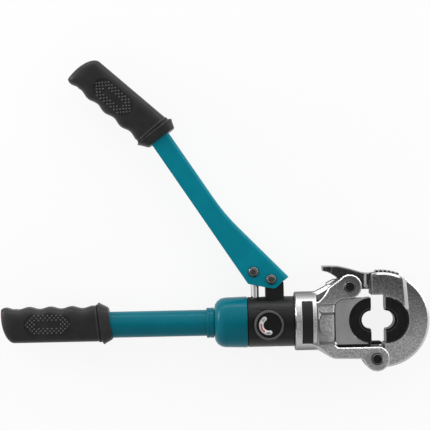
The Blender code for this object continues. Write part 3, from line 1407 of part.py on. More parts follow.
def return_spring(body):
    """Spring that pushes the piston back, between the piston and the neck."""
    low = PISTON_FRONT + CLEAR
    high = CYLINDER_FRONT
    radius = CYLINDER_BORE - SPRING_WIRE - 2 * CLEAR
    spring = coil(radius, SPRING_WIRE, SPRING_TURNS, low, high, "X", (0, 0, 0), 10, 4)
    place("return_spring", spring, "steel", body)


# Ram


def ram_slide(body):
    """Ram block that slides between the arms and carries the moving die."""
    seat = DIE_SEAT_RADIUS
    low_angle = 180 + math.degrees(math.acos(RAM_TIP_SETBACK / seat))
    top_x = DIE_FLAT_REST - math.sqrt(seat ** 2 - RAM_TOP ** 2)
    high_angle = 180 - math.degrees(math.asin(RAM_TOP / seat))
    corners = [
        (RAM_REAR, RAM_TOP, RAM_TOP_ROUND),
        (RAM_REAR, RAM_BOTTOM, RAM_BOTTOM_ROUND),
        (RAM_TIP, RAM_BOTTOM, 0),
    ]
    corners += arc(DIE_FLAT_REST, 0, seat, low_angle, high_angle, math.radians(9))
    outline = rounded(corners)
    block = slab(outline, -RAM_HALF_THICKNESS, RAM_HALF_THICKNESS, 0)
    rod_hole = rod(ROD_RADIUS + CLEAR, RAM_REAR - CUT_OVER, RAM_REAR + ROD_IN_RAM + CLEAR)
    detent_x = DIE_FLAT_REST - seat
    detent = rod(DETENT_RADIUS + CLEAR, detent_x - DETENT_IN_SEAT - CLEAR, detent_x + CUT_OVER)
    place("ram_slide", shaped(block, (), [rod_hole, keyway(), detent]), "steel", body)


def keyway():
    """Groove in the underside of the ram and of the moving die for the guide key."""
    top = RAIL_TOP + KEY_STAND + CLEAR
    low = RAM_REAR - CUT_OVER
    return rail(low, DIE_FLAT_REST + CUT_OVER, RAM_BOTTOM - CUT_OVER, top, KEY_HALF_WIDTH + CLEAR)


def ram_piston(body):
    """Piston with its rod, which pushes the ram."""
    seal_low = PISTON_REAR + (PISTON_LENGTH - PISTON_SEAL_WIDTH) / 2
    seal_high = seal_low + PISTON_SEAL_WIDTH
    radius = CYLINDER_BORE - CLEAR
    groove = radius - PISTON_SEAL_DEPTH
    profile = [
        (PISTON_REAR, 0),
        (PISTON_REAR, radius),
        (seal_low - CLEAR, radius),
        (seal_low - CLEAR, groove),
        (seal_high + CLEAR, groove),
        (seal_high + CLEAR, radius),
        (PISTON_FRONT, radius),
        (PISTON_FRONT, ROD_RADIUS),
        (RAM_REAR + ROD_IN_RAM, ROD_RADIUS),
        (RAM_REAR + ROD_IN_RAM, 0),
    ]
    place("ram_piston", turned(profile), "steel", body)
    seal = ring_body(groove + CLEAR, radius, seal_low, seal_high, count=BIG_ROUND)
    place("piston_seal", seal, "seal_rubber", body)


def die_half(flat, side, more_cuts=()):
    """Half die with a stepped pipe bore; side is +1 where its round back faces +X."""
    r = DIE_RADIUS
    bore = DIE_BORE_RADIUS
    start, end = (-90, 90) if side > 0 else (90, 270)
    corners = arc(flat, 0, r, start, end, math.radians(9))
    corners += arc(flat, 0, bore, end, start, math.radians(12))
    half = DIE_HALF_THICKNESS
    outline = rounded(corners)
    block = slab(outline, -half, half)
    relief_bore = DIE_RELIEF_RADIUS
    cuts = list(more_cuts)
    steps = [
        (half - DIE_RELIEF_DEPTH, half + CUT_OVER),
        (-half - CUT_OVER, -half + DIE_RELIEF_DEPTH),
        (-DIE_GROOVE_HALF_WIDTH, DIE_GROOVE_HALF_WIDTH),
    ]
    for low, high in steps:
        cuts.append(slab(circle(flat, 0, relief_bore, BIG_ROUND), low, high))
    dimple_x = flat + side * r
    low, high = sorted((dimple_x - side * (DETENT_IN_DIE + CLEAR), dimple_x + side * CUT_OVER))
    cuts.append(rod(DETENT_RADIUS + CLEAR, low, high))
    return shaped(block, (), cuts)


def dies(ram_body, jaw_body):
    """Moving and fixed half dies, and the detents that hold them in their seats."""
    place("moving_die", die_half(DIE_FLAT_REST, -1, [keyway()]), "black_metal", ram_body)
    place("fixed_die", die_half(DIE_FLAT_FIXED, 1), "black_metal", jaw_body)
    for name, flat, side, body in (
        ("moving_die_detent", DIE_FLAT_REST, -1, ram_body),
        ("fixed_die_detent", DIE_FLAT_FIXED, 1, jaw_body),
    ):
        seat_x = flat + side * DIE_SEAT_RADIUS
        low, high = sorted((seat_x + side * DETENT_IN_SEAT, seat_x - side * DETENT_IN_DIE))
        place(name, rod(DETENT_RADIUS, low, high, chamfer=DETENT_CHAMFER), "steel", body)


# Swing jaw and latch


def jaw_outline():
    """Side view of the C-shaped jaw, without its tongue."""
    x, y, r = JAW_ARC_X, JAW_ARC_Y, JAW_ARC_RADIUS
    top_angle = math.degrees(math.acos((JAW_END_LEFT + 2 * JAW_INNER_EDGE - x) / r))
    corners = arc(x, y, r, JAW_ARC_START, top_angle, math.radians(7))
    corners += [
        (JAW_END_LEFT, JAW_END_HEIGHT, JAW_END_ROUND),
        (JAW_END_LEFT, JAW_END_BOTTOM, 2 * JAW_INNER_EDGE),
        (DIE_FLAT_FIXED, JAW_END_BOTTOM, 0),
    ]
    corners += arc(DIE_FLAT_FIXED, 0, DIE_SEAT_RADIUS, 90, -90, math.radians(9))
    corners += [(JAW_HEEL_X, JAW_HEEL_Y, 0), (JAW_HEEL_X, JAW_PIVOT_Y, 0)]
    return rounded(corners)


def jaw_plate(half, inset=0.0):
    """Plate of the jaw's outline, with a wide chamfer on its round back and a small one inside."""
    outline = grown(jaw_outline(), [-inset] * len(jaw_outline()))
    centre = Vector((JAW_ARC_X, JAW_ARC_Y))
    back_starts = JAW_ARC_RADIUS - JAW_EDGE
    widths = [JAW_EDGE if (point - centre).length > back_starts else JAW_INNER_EDGE for point in outline]
    inner = grown(outline, [-width for width in widths])
    edge = half - JAW_EDGE_HEIGHT
    return layered([(inner, -half), (outline, -edge), (outline, edge), (inner, half)])


def swing_jaw(body):
    """Forged C-shaped jaw with a tongue on the head's pin and a slotted end for the latch."""
    half = JAW_HALF_THICKNESS
    blank = shaped(jaw_plate(half), (), [jaw_end_cutter(1), jaw_end_cutter(-1)])
    thin_end = jaw_plate(JAW_END_HALF_THICKNESS, CLEAR / 3)
    tongue_half = JAW_TONGUE_HALF_THICKNESS
    reach = JAW_EAR_RADIUS - 2 * CLEAR
    tongue_right = JAW_PIVOT_X + JAW_TONGUE_REACH
    tongue_corners = arc(JAW_PIVOT_X, JAW_PIVOT_Y, reach, 62, 300)
    tongue_corners += [(tongue_right, JAW_PIVOT_Y - JAW_TONGUE_LOW, 0), (tongue_right, JAW_TONGUE_TOP, 0)]
    tongue_corners += [(JAW_PIVOT_X + JAW_EAR_RADIUS - JAW_EDGE, JAW_HEEL_Y, 0)]
    tongue = slab(rounded(tongue_corners), -tongue_half, tongue_half)
    cuts = []
    ear_room = JAW_EAR_RADIUS + CLEAR
    for low, high in ((tongue_half, half + CUT_OVER), (-half - CUT_OVER, -tongue_half)):
        cuts.append(slab(circle(JAW_PIVOT_X, JAW_PIVOT_Y, ear_room, BIG_ROUND), low, high))
    cuts.append(rod(PIN_HOLE_RADIUS, -2 * half, 2 * half, "Z", JAW_PIVOT))
    cuts.append(slab(jaw_slot_outline(), -LATCH_HALF_THICKNESS - CLEAR, LATCH_HALF_THICKNESS + CLEAR))
    seat_x = DIE_FLAT_FIXED + DIE_SEAT_RADIUS
    cuts.append(rod(DETENT_RADIUS + CLEAR, seat_x - CUT_OVER, seat_x + DETENT_IN_SEAT + CLEAR))
    place("swing_jaw", shaped(blank, [thin_end, tongue], cuts), "chrome", body)


def jaw_end_cutter(side):
    """What is taken off the jaw's end on one flank, up to a leaning strip."""
    thick, thin = JAW_HALF_THICKNESS, JAW_END_HALF_THICKNESS
    above = thick + CUT_OVER
    left = JAW_END_LEFT - JAW_EDGE
    high_y = JAW_ARC_Y + JAW_ARC_RADIUS + JAW_EDGE
    levels = []
    for height in (thin - JAW_EDGE_HEIGHT - CLEAR, above):
        right = JAW_END_RIGHT + JAW_STRIP * (height - thin) / (thick - thin)
        corners = [(left, JAW_END_LOW), (right, JAW_END_LOW)]
        corners += [(right - JAW_STRIP_LEAN, high_y), (left, high_y)]
        levels.append(([Vector(corner) for corner in corners], height))
    return mirrored(layered(levels), side)


def jaw_slot_outline():
    """Slot in the jaw's end for the latch's nose, its floor an arc about the jaw's own pin."""
    x, y, r = JAW_PIVOT_X, JAW_PIVOT_Y, JAW_SLOT_RADIUS
    right_angle = math.degrees(math.acos((JAW_SLOT_RIGHT - x) / r))
    left = JAW_END_LEFT - JAW_EDGE
    left_angle = math.degrees(math.acos((left - x) / r))
    far_y = JAW_ARC_Y + JAW_ARC_RADIUS + JAW_ARC_RADIUS / 3
    corners = arc(x, y, r, right_angle, left_angle, math.radians(3))
    corners += [(left, far_y, 0), (JAW_SLOT_RIGHT + JAW_SLOT_FLARE, far_y, 0)]
    return rounded(corners)


def latch_outline():
    """Side view of the latch: tail, hub, tooth beside the jaw's end and nose over it."""
    x, y, r = JAW_PIVOT_X, JAW_PIVOT_Y, JAW_SLOT_RADIUS + LATCH_NOSE_GAP
    right_angle = math.degrees(math.acos((LATCH_NOSE_RIGHT - x) / r))
    left_angle = math.degrees(math.acos((LATCH_TOOTH_RIGHT - x) / r))
    edge = LATCH_EDGE
    corners = [*LATCH_BACK, (LATCH_TAIL_TIP_X, LATCH_TAIL_TOP, edge)]
    corners += [(LATCH_TAIL_TIP_X + edge / 2, LATCH_TAIL_TOP - LATCH_TAIL_DEPTH, edge), *LATCH_BELLY]
    corners += arc(LATCH_PIVOT_X, LATCH_PIVOT_Y, LATCH_HUB_RADIUS, 165, 300)
    corners += [(LATCH_TOOTH_LEFT, LATCH_TOOTH_BOTTOM, 2 * edge)]
    corners += [(LATCH_TOOTH_RIGHT, LATCH_TOOTH_BOTTOM, edge)]
    corners += arc(x, y, r, left_angle, right_angle, math.radians(3))
    corners += [(LATCH_NOSE_RIGHT + edge / 2, LATCH_NOSE_TOP, edge / 2)]
    corners += latch_ribs()
    return rounded(corners)


def latch_ribs():
    """Serrated thumb pad on the latch's nose, following the jaw's round back."""
    x, y = JAW_ARC_X, JAW_ARC_Y
    low = JAW_ARC_RADIUS + LATCH_RIB_ROOT
    high = JAW_ARC_RADIUS + LATCH_RIB_TOP
    start = LATCH_RIBS_START
    pitch = (LATCH_RIBS_END - start) / LATCH_RIB_COUNT
    corners = []
    for index in range(LATCH_RIB_COUNT):
        for share, radius in ((0.0, low), (0.15, high), (0.65, high), (0.8, low)):
            angle = math.radians(start + pitch * (index + share))
            corners.append((x + radius * math.cos(angle), y + radius * math.sin(angle), 0))
    return corners


def latch_lever(body):
    """Latch with its tail to press, its hub between the ears and its nose in the jaw's slot."""
    half = LATCH_HALF_THICKNESS
    arm = slab(latch_outline(), -half, half)
    hub_half = LATCH_HUB_HALF_THICKNESS
    hub_low = rod(LATCH_HUB_RADIUS - LATCH_EDGE / 2, -hub_half, 0, "Z", LATCH_PIVOT)
    pin_hole = rod(PIN_HOLE_RADIUS, -2 * half, 2 * half, "Z", LATCH_PIVOT)
    room = LATCH_SPRING_RADIUS + LATCH_SPRING_WIRE + CLEAR
    high = half + CUT_OVER
    spring_pocket = rod(room, LATCH_SPRING_FLOOR, high, "Z", LATCH_PIVOT)
    leg_end = -LATCH_SLOT_RADIUS - CUT_OVER
    leg_top = LATCH_SPRING_WIRE + CLEAR - LATCH_SPRING_RADIUS + CLEAR
    leg_corners = [(leg_end, -room), (0, -room), (0, leg_top), (leg_end, leg_top)]
    leg_outline = [LATCH_PIVOT.xy + Vector(corner) for corner in leg_corners]
    leg_groove = slab(leg_outline, LATCH_SPRING_FLOOR, high)
    tip_x = LATCH_TAIL_TIP_X + CLEAR
    tip_top = LATCH_TAIL_TOP - CLEAR
    edge = LATCH_EDGE
    tail_pad = slab(rounded([
        (tip_x, tip_top, edge),
        (tip_x + edge / 2, LATCH_TAIL_TOP - LATCH_TAIL_DEPTH + CLEAR, edge),
        *[(corner_x, corner_y + CLEAR, radius) for corner_x, corner_y, radius in LATCH_BELLY[:2]],
        (LATCH_BELLY[1][0] + 2 * edge, tip_top, 0),
    ]), -hub_half, hub_half, edge / 2)
    pin_at = (LATCH_TOOTH_RIGHT - CROSS_PIN_IN, LATCH_TOOTH_BOTTOM + CROSS_PIN_UP, 0)
    cross_hole = rod(CROSS_PIN_RADIUS + CLEAR, -2 * half, 2 * half, "Z", pin_at)
    latch = shaped(arm, [hub_low, tail_pad], [spring_pocket, leg_groove, pin_hole, cross_hole])
    place("latch_lever", latch, "dark_steel", body)
    pin_half = half + CROSS_PIN_STAND
    place("latch_cross_pin", rod(CROSS_PIN_RADIUS, -pin_half, pin_half, "Z"), "steel", body, pin_at)


def stand_on_origin(root):
    """Move the whole tool so that the middle of its lowest level lies on the origin."""
    bpy.context.view_layer.update()
    low = Vector((math.inf,) * 3)
    high = Vector((-math.inf,) * 3)
    for piece in bpy.data.objects:
        if piece.type != "MESH":
            continue
        for vertex in piece.data.vertices:
            place_in_tool = piece.matrix_world @ vertex.co
            low = Vector(map(min, low, place_in_tool))
            high = Vector(map(max, high, place_in_tool))
    root.location = (-(low.x + high.x) / 2, -(low.y + high.y) / 2, -low.z)
    bpy.context.view_layer.update()


def build():
    """Build every piece on its body."""
    for old in list(bpy.data.objects):
        bpy.data.objects.remove(old)
    pump = body_at("pump_body", (0, 0, 0))
    lever = body_at("lever_body", LEVER_PIVOT, pump)
    plunger = body_at("plunger_body", (PLUNGER_X, 0, 0), pump)
    knob = body_at("knob_body", KNOB_AT, pump)
    head = body_at("head_body", (0, 0, 0), pump)
    ram = body_at("ram_body", (0, 0, 0), head)
    jaw = body_at("jaw_body", JAW_PIVOT, head)
    latch = body_at("latch_body", LATCH_PIVOT, head)
    for make in (pump_block, reservoir_cap, tube_collar, fixed_tube, tube_plug, oil_bladder, fixed_grip,
                 ram_cylinder, swivel_ring, plunger_packing, check_valves, relief_valve, lever_bolt):
        make(pump)
    for make in (lever_channel, moving_grip, plunger_pin):
        make(lever)
    pump_plunger(plunger)
    release_knob(knob)
    release_needle(knob)
    for make in (head_frame, rod_bush, guide_key, circlips, latch_spring, return_spring):
        make(head)
    pivot_pin("jaw_pin", head, JAW_PIVOT)
    pivot_pin("latch_pin", head, LATCH_PIVOT)
    ram_slide(ram)
    ram_piston(ram)
    dies(ram, jaw)
    swing_jaw(jaw)
    latch_lever(latch)
    stand_on_origin(pump)


build()
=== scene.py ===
"""Looks of the hydraulic pipe crimper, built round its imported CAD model.

Lengths are metres. The tool's own directions are those of its CAD source: X runs along the pump's axis
towards the jaw, from the face where the pump block meets the head, Y towards the moving lever, and Z up.
"""

import json
import math

import bmesh
import bpy
from mathutils import Matrix, Vector

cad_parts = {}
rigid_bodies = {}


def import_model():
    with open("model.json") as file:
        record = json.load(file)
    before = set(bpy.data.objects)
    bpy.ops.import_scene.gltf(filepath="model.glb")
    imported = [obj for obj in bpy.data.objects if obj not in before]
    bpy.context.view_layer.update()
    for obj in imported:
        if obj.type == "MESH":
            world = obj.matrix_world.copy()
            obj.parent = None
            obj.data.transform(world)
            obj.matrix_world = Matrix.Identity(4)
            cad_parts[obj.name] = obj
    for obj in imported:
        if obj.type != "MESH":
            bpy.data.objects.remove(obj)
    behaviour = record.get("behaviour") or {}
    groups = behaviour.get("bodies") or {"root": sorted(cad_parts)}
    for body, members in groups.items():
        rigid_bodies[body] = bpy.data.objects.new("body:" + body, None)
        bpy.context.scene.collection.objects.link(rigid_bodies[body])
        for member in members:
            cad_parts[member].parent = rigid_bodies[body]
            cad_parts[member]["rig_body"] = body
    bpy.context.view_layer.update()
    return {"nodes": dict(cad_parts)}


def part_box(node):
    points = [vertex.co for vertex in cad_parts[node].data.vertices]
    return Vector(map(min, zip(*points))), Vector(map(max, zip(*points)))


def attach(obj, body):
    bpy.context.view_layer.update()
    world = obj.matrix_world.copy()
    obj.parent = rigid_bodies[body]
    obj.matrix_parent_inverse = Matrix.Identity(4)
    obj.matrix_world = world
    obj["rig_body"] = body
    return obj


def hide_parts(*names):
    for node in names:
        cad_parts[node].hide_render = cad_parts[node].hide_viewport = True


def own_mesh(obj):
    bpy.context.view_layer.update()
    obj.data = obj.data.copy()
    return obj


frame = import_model()

# The tool's own origin in the frame, read from the boxes of two pieces
TUBE_LOW, TUBE_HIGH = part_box("fixed_tube")
BLOCK_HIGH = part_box("pump_block")[1]
TOOL_AT = Vector((BLOCK_HIGH.x, (TUBE_LOW.y + TUBE_HIGH.y) / 2, (TUBE_LOW.z + TUBE_HIGH.z) / 2))

# Camera: straight above the tool, far enough for the photograph's perspective
VIEW_DISTANCE = 1.8
VIEW_WIDTH = 0.4816
VIEW_CENTRE = Vector((-0.0860, 0.1205, 0.0))
VIEW_ROLL = math.radians(-1.2)
SENSOR = 36.0

# Grips, the same form as in the CAD source with finer steps
GRIP_LENGTH = 0.1222
GRIP_HALF_HEIGHT = 0.020
GRIP_HALF_THICKNESS = 0.0175
GRIP_SQUARENESS = 3.4
GRIP_LIFT = 0.0019
GRIP_BEFORE_BEND = 0.0066
GROOVE_COUNT = 4
GROOVE_PITCH = 0.0239
GROOVE_DEPTH = 0.0025
GROOVE_STEPS = 14
FIRST_RIDGE = 0.0195
HEEL_LENGTH = 0.015
HEEL_TIP_HEIGHT = 0.0165
HEEL_DROP = 0.004
HEEL_TURN = math.radians(84)
HEEL_POWER = 0.45
HEEL_STEPS = 16
FLANGE_HALF_HEIGHT = 0.0232
FLANGE_HALF_THICKNESS = 0.0210
FLANGE_PEAK = 0.0102
FLANGE_FRONT_HALF_HEIGHT = 0.0174
FLANGE_BLEND = 0.004
GRIP_SECTION_POINTS = 64
GRIP_EDGE = 0.0004
GRIP_EDGE_ANGLE = math.radians(50)
PAD_CENTRE = 0.0692
PAD_OFFSET = 0.0008
PAD_LENGTH = 0.0521
PAD_WIDTH = 0.0244
PAD_FLOOR = 0.0163
PAD_BLANK_LENGTH = 0.0262
PAD_BLANK_WIDTH = 0.0086
TUBE_VISIBLE = 0.1072
FIXED_FLANGE_TILT = math.radians(8)
MOVING_FLANGE_TILT = math.radians(12.6)

# Raised dots of the pads; the form gives shares of a dot's height and radius from its foot to its top
PAD_DOT_PITCH = 0.0049
PAD_DOT_ROW = 0.0024
PAD_DOT_RADIUS = 0.00118
PAD_DOT_HEIGHT = 0.0010
PAD_DOT_SINK = 0.0002
PAD_DOT_STRETCH = 1.15
PAD_DOT_MARGIN = 0.0014
PAD_DOT_SIDES = 8
PAD_DOT_FORM = ((0.0, 1.0), (0.5, 0.92), (1.0, 0.55))
PAD_ROWS_EACH_WAY = 4
PAD_COLUMNS_EACH_WAY = 6

# Moving lever
LEVER_PIVOT = Vector((-0.0249, 0.0476, 0.0))
LEVER_ANGLE = math.radians(123.45)
LEVER_BEND = math.radians(15.05)
LEVER_BEND_AT = 0.206
LEVER_OPEN_EDGE = -0.0242
LEVER_DEPTH = 0.023

# Latch: its back from the tail's tip to the jaw, and the rib beside its tooth, where bright strips are laid
# as painted highlight
LATCH_BACK = (
    (0.0324, 0.0611), (0.0401, 0.0611), (0.0437, 0.0609), (0.0502, 0.0606),
    (0.0568, 0.0591), (0.0610, 0.0581), (0.0651, 0.0568), (0.0700, 0.0552),
    (0.0761, 0.0533), (0.0790, 0.0527), (0.0817, 0.0523), (0.0845, 0.0523),
)
LATCH_TAIL_END = 0.0437
LATCH_TAIL_HALF = 0.0104
LATCH_HALF = 0.0080
LATCH_RIM_WIDTH = 0.0011
LATCH_TRIM_SINK = 0.0003
LATCH_TRIM_STAND = 0.0003
LATCH_TRIM_EDGE = 0.00015
LATCH_RIB = ((0.0782, 0.0372), (0.0814, 0.0372), (0.0812, 0.0512), (0.0786, 0.0512))

# Bolts of the lever
BOLT_RADIUS = 0.004
BOLT_HEAD_RADIUS = 0.0058
BOLT_HEAD_HEIGHT = 0.0034
BOLT_SEAT = 0.0133
BOLT_HEAD_RIM = 0.0006
BOLT_HEAD_EDGE = 0.0002
BOLT_CHAMFER = 0.0004
BOLT_SIDES = 64
DOME_START = 8
DOME_POWER = 0.8
DOME_STEPS = 8
SOCKET_RADIUS = 0.0023
SOCKET_FLOOR = 0.4
PIN_ALONG = 0.0181
PIN_ACROSS = -0.0116

# Release knob
KNOB_AT = Vector((-0.0293, -0.0015, 0.0))
KNOB_RADIUS = 0.0161
KNOB_SEAT = 0.0243
KNOB_TOP = 0.0450
KNOB_RIM = 0.0023
KNOB_RECESS = 0.0012
KNOB_CHAMFER = 0.0015
KNOB_FOOT = 0.0005
KNOB_GAP = 0.0003
KNOB_HOLE = 0.0035
KNOB_HOLE_TOP = 0.0350
KNOB_SKIRT_STEP = 0.0002
KNOB_SKIRT_TOP = 2.2
# Shares of the chamfer, down from the knob's top and in from its side
KNOB_EDGE_FORM = ((2.0, 0), (0.9, 0), (0.55, 0.10), (0.22, 0.34), (0.04, 0.66), (0, 0.95), (0.15, 1.2))
DIAL_EDGE = 0.0003
DIAL_INSET = 0.0002
RIM_DROP = 0.0004
ARC_CENTRE = (-0.0297, -0.0012)
ARC_RADIUS = 0.0083
ARC_WIDTH = 0.0048
ARC_START = 122
ARC_END = 280
ARC_SINK = 0.0001
ARC_STAND = 0.00012
ARROW_START = 178
ARROW_END = 227
ARROW_WIDTH = 0.0014
ARROW_TIP_HALF = 0.0016
ARROW_TIP_TURN = 12
MARK_STAND = 0.0002
MARK_WIDTH = 0.0024
MARK_BARS = 4
MARK_PITCH = 7
MARK_HALF_TURN = 1.6
MARK_STARTS = {"knob_mark_open": ARC_START + 1, "knob_mark_shut": ARC_END - 22}

# Label plate on the head's collar
PLATE_LEFT = 0.0067
PLATE_RIGHT = 0.0207
PLATE_TOP = 0.0236
PLATE_BOTTOM = -0.0243
PLATE_BORDER = 0.0009
PLATE_SINK = 0.0004
PLATE_RIM_STAND = 0.0003
PLATE_FACE_STAND = 0.0004
COLLAR_RADIUS = 0.0329

# Edges: faces that meet at more than the sharp angle keep a sharp edge in the shading
SHARP_ANGLE = math.radians(34)
BEVEL_ANGLE = math.radians(38)
FLAT_ANGLE = math.radians(0.6)
BEVEL_SEGMENTS = 2
WELD_DISTANCE = 0.00001
TINY = 1e-6
AO_SAMPLES = 8

# Light: the sky's strength from the horizon to straight up, how much it grows towards the lever's side,
# and the lamps with their place, width, height and power
SKY = (
    (0.0, 1.08), (0.20, 1.04), (0.50, 0.95), (0.70, 0.84), (0.87, 0.64), (0.97, 0.38), (1.0, 0.29),
)
SKY_TILT = 0.40
LAMPS = (
    ("strip_lever_side", (-0.10, 1.40, 0.17), 1.8, 0.045, 6.0),
    ("strip_jaw_side", (1.17, 0.77, 0.17), 1.5, 0.045, 5.0),
    ("window", (-1.22, 0.42, 0.20), 0.60, 0.14, 7.0),
)
LAMP_TARGET = (0, 0, 0.03)

# Floor: half its width, how much of it glows where it is seen, and its grey for the other rays
FLOOR_HALF = 4.0
FLOOR_GLOW = 0.85
FLOOR_GREY = 0.62


# Shapes


def to_frame(point):
    """Place in the frame of a point given in the tool's own directions."""
    return TOOL_AT + Vector(point)


def polar(radius, angle, centre=(0.0, 0.0)):
    """Point at a radius and an angle round a centre."""
    return (centre[0] + radius * math.cos(angle), centre[1] + radius * math.sin(angle))


def piece(name, mesh, body, material, replaced=()):
    """Object from a mesh in the tool's own directions, riding on a body."""
    bmesh.ops.recalc_face_normals(mesh, faces=mesh.faces)
    data = bpy.data.meshes.new(name)
    mesh.to_mesh(data)
    mesh.free()
    data.transform(Matrix.Translation(TOOL_AT))
    data.shade_smooth()
    data.materials.append(material)
    made = bpy.data.objects.new(name, data)
    bpy.context.scene.collection.objects.link(made)
    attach(made, body)
    if replaced:
        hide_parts(*replaced)
    return made


def bridge(mesh, rings, closed=False):
    """Join rings of equal length in order with quads."""
    pairs = list(zip(rings, rings[1:]))
    if closed:
        pairs.append((rings[-1], rings[0]))
    for ring, following in pairs:
        count = len(ring)
        for index in range(count):
            after = (index + 1) % count
            mesh.faces.new((ring[index], ring[after], following[after], following[index]))


def merge(mesh, addition):
    """Add a mesh to another and free it."""
    data = bpy.data.meshes.new("addition")
    addition.to_mesh(data)
    addition.free()
    mesh.from_mesh(data)
    bpy.data.meshes.remove(data)


def grip_stations():
    """Sections along a grip: place, height on the finger side, height on the back, half thickness."""
    front = FLANGE_FRONT_HALF_HEIGHT
    peak = FLANGE_HALF_HEIGHT
    wide = FLANGE_HALF_THICKNESS
    half = GRIP_HALF_HEIGHT
    thick = GRIP_HALF_THICKNESS
    at = FLANGE_PEAK
    rows = [
        (0.0, front - 0.0004, front - 0.0004, thick - 0.0014),
        (0.0003, front, front, thick - 0.0009),
        (0.0010, front + 0.0008, front + 0.0008, thick - 0.0002),
        (at - 0.0020, peak - 0.0012, peak - 0.0012, wide - 0.0009),
        (at - 0.0010, peak - 0.0004, peak - 0.0004, wide - 0.0002),
        (at - 0.0002, peak, peak, wide),
        (at + 0.0004, peak - 0.0003, peak - 0.0003, wide - 0.0003),
        (at + 0.0010, peak - 0.0012, peak - 0.0012, wide - 0.0012),
        (at + 0.0016, half + 0.0006, half + 0.0006, thick + 0.0008),
        (at + 0.0021, half + 0.0004, half + 0.0004, thick + 0.0005),
        (at + 0.0026, half + 0.0009, half + 0.0009, thick + 0.0010),
        (at + 0.0033, half + 0.0010, half + 0.0010, thick + 0.0011),
        (at + 0.0040, half + 0.0008, half + 0.0008, thick + 0.0008),
        (at + 0.0045, half + 0.0002, half + 0.0002, thick + 0.0002),
        (at + 0.0051, half, half, thick),
        (at + 0.0060, half, half, thick),
    ]
    for index in range(GROOVE_COUNT * GROOVE_STEPS + 1):
        along = FIRST_RIDGE + GROOVE_PITCH * index / GROOVE_STEPS
        if along > GRIP_LENGTH - HEEL_LENGTH:
            break
        dip = GROOVE_DEPTH * (0.5 - 0.5 * math.cos(2 * math.pi * index / GROOVE_STEPS))
        rows.append((along, half - dip, half, thick))
    for index in range(1, HEEL_STEPS + 1):
        turn = HEEL_TURN * index / HEEL_STEPS
        along = GRIP_LENGTH - HEEL_LENGTH + HEEL_LENGTH * math.sin(turn)
        shrink = 1 - math.cos(turn)
        dip = GROOVE_DEPTH * (0.5 + 0.5 * math.cos(math.pi * min(1.0, 2.0 * index / HEEL_STEPS)))
        top = half - dip - (half - HEEL_TIP_HEIGHT) * shrink ** 2
        bottom = half - (half + HEEL_TIP_HEIGHT - HEEL_DROP) * shrink
        rows.append((along, top, bottom, thick * math.cos(turn) ** HEEL_POWER))
    return rows


def grip_mesh(side, flange_tilt):
    """Moulded grip along its own X from the flange to the heel, its finger side towards side times Y."""
    blend_end = FIRST_RIDGE + FLANGE_BLEND
    power = 2 / GRIP_SQUARENESS
    mesh = bmesh.new()
    rings = []
    for at, top, bottom, half_thickness in grip_stations():
        fade = min(1.0, max(0.0, (blend_end - at) / (blend_end - FLANGE_PEAK)))
        ring = []
        for index in range(GRIP_SECTION_POINTS):
            angle = 2 * math.pi * (index + 0.5) / GRIP_SECTION_POINTS
            across = math.copysign(abs(math.sin(angle)) ** power, math.sin(angle))
            up = math.copysign(abs(math.cos(angle)) ** power, math.cos(angle))
            height = (top - bottom) / 2 + up * (top + bottom) / 2
            slide = height * math.tan(flange_tilt) * fade
            ring.append(mesh.verts.new((at + slide, side * height, across * half_thickness)))
        rings.append(ring)
    mesh.faces.new(rings[0])
    mesh.faces.new(rings[-1])
    bridge(mesh, rings)
    bmesh.ops.recalc_face_normals(mesh, faces=mesh.faces)
    return mesh


def stadium(length, width, at_x, at_y, steps=24):
    """Outline points with two straight sides along X and round ends."""
    straight = (length - width) / 2
    points = []
    for centre, start in ((at_x + straight, -90), (at_x - straight, 90)):
        for index in range(steps + 1):
            angle = math.radians(start + 180 * index / steps)
            points.append(polar(width / 2, angle, (centre, at_y)))
    return points


def prism(outline, low, high):
    """Plate between two heights."""
    mesh = bmesh.new()
    rings = [[mesh.verts.new((x, y, z)) for x, y in outline] for z in (low, high)]
    mesh.faces.new(rings[0])
    mesh.faces.new(rings[1])
    bridge(mesh, rings)
    bmesh.ops.recalc_face_normals(mesh, faces=mesh.faces)
    return mesh


def cut(base, cutter):
    """Mesh left of base once cutter is taken from it."""
    helpers = []
    for mesh in (base, cutter):
        data = bpy.data.meshes.new("helper")
        mesh.to_mesh(data)
        mesh.free()
        helper = bpy.data.objects.new("helper", data)
        bpy.context.scene.collection.objects.link(helper)
        helpers.append(helper)
    modifier = helpers[0].modifiers.new("cut", "BOOLEAN")
    modifier.operation = "DIFFERENCE"
    modifier.solver = "EXACT"
    modifier.object = helpers[1]
    result = bmesh.new()
    result.from_object(helpers[0], bpy.context.evaluated_depsgraph_get())
    for helper in helpers:
        data = helper.data
        bpy.data.objects.remove(helper)
        bpy.data.meshes.remove(data)
    bmesh.ops.remove_doubles(result, verts=result.verts, dist=TINY)
    return result


def turned(profile, count=96, at=(0, 0, 0)):
    """Body round Z from a profile of (height, radius) points; one that ends off the axis closes on itself."""
    mesh = bmesh.new()
    closed = profile[0][1] > 0 and profile[-1][1] > 0
    rings = []
    for height, radius in profile:
        ring = []
        for index in range(count):
            x, y = polar(max(radius, TINY), 2 * math.pi * index / count)
            ring.append(mesh.verts.new(Vector((x, y, height)) + Vector(at)))
        rings.append(ring)
    bridge(mesh, rings, closed)
    return mesh


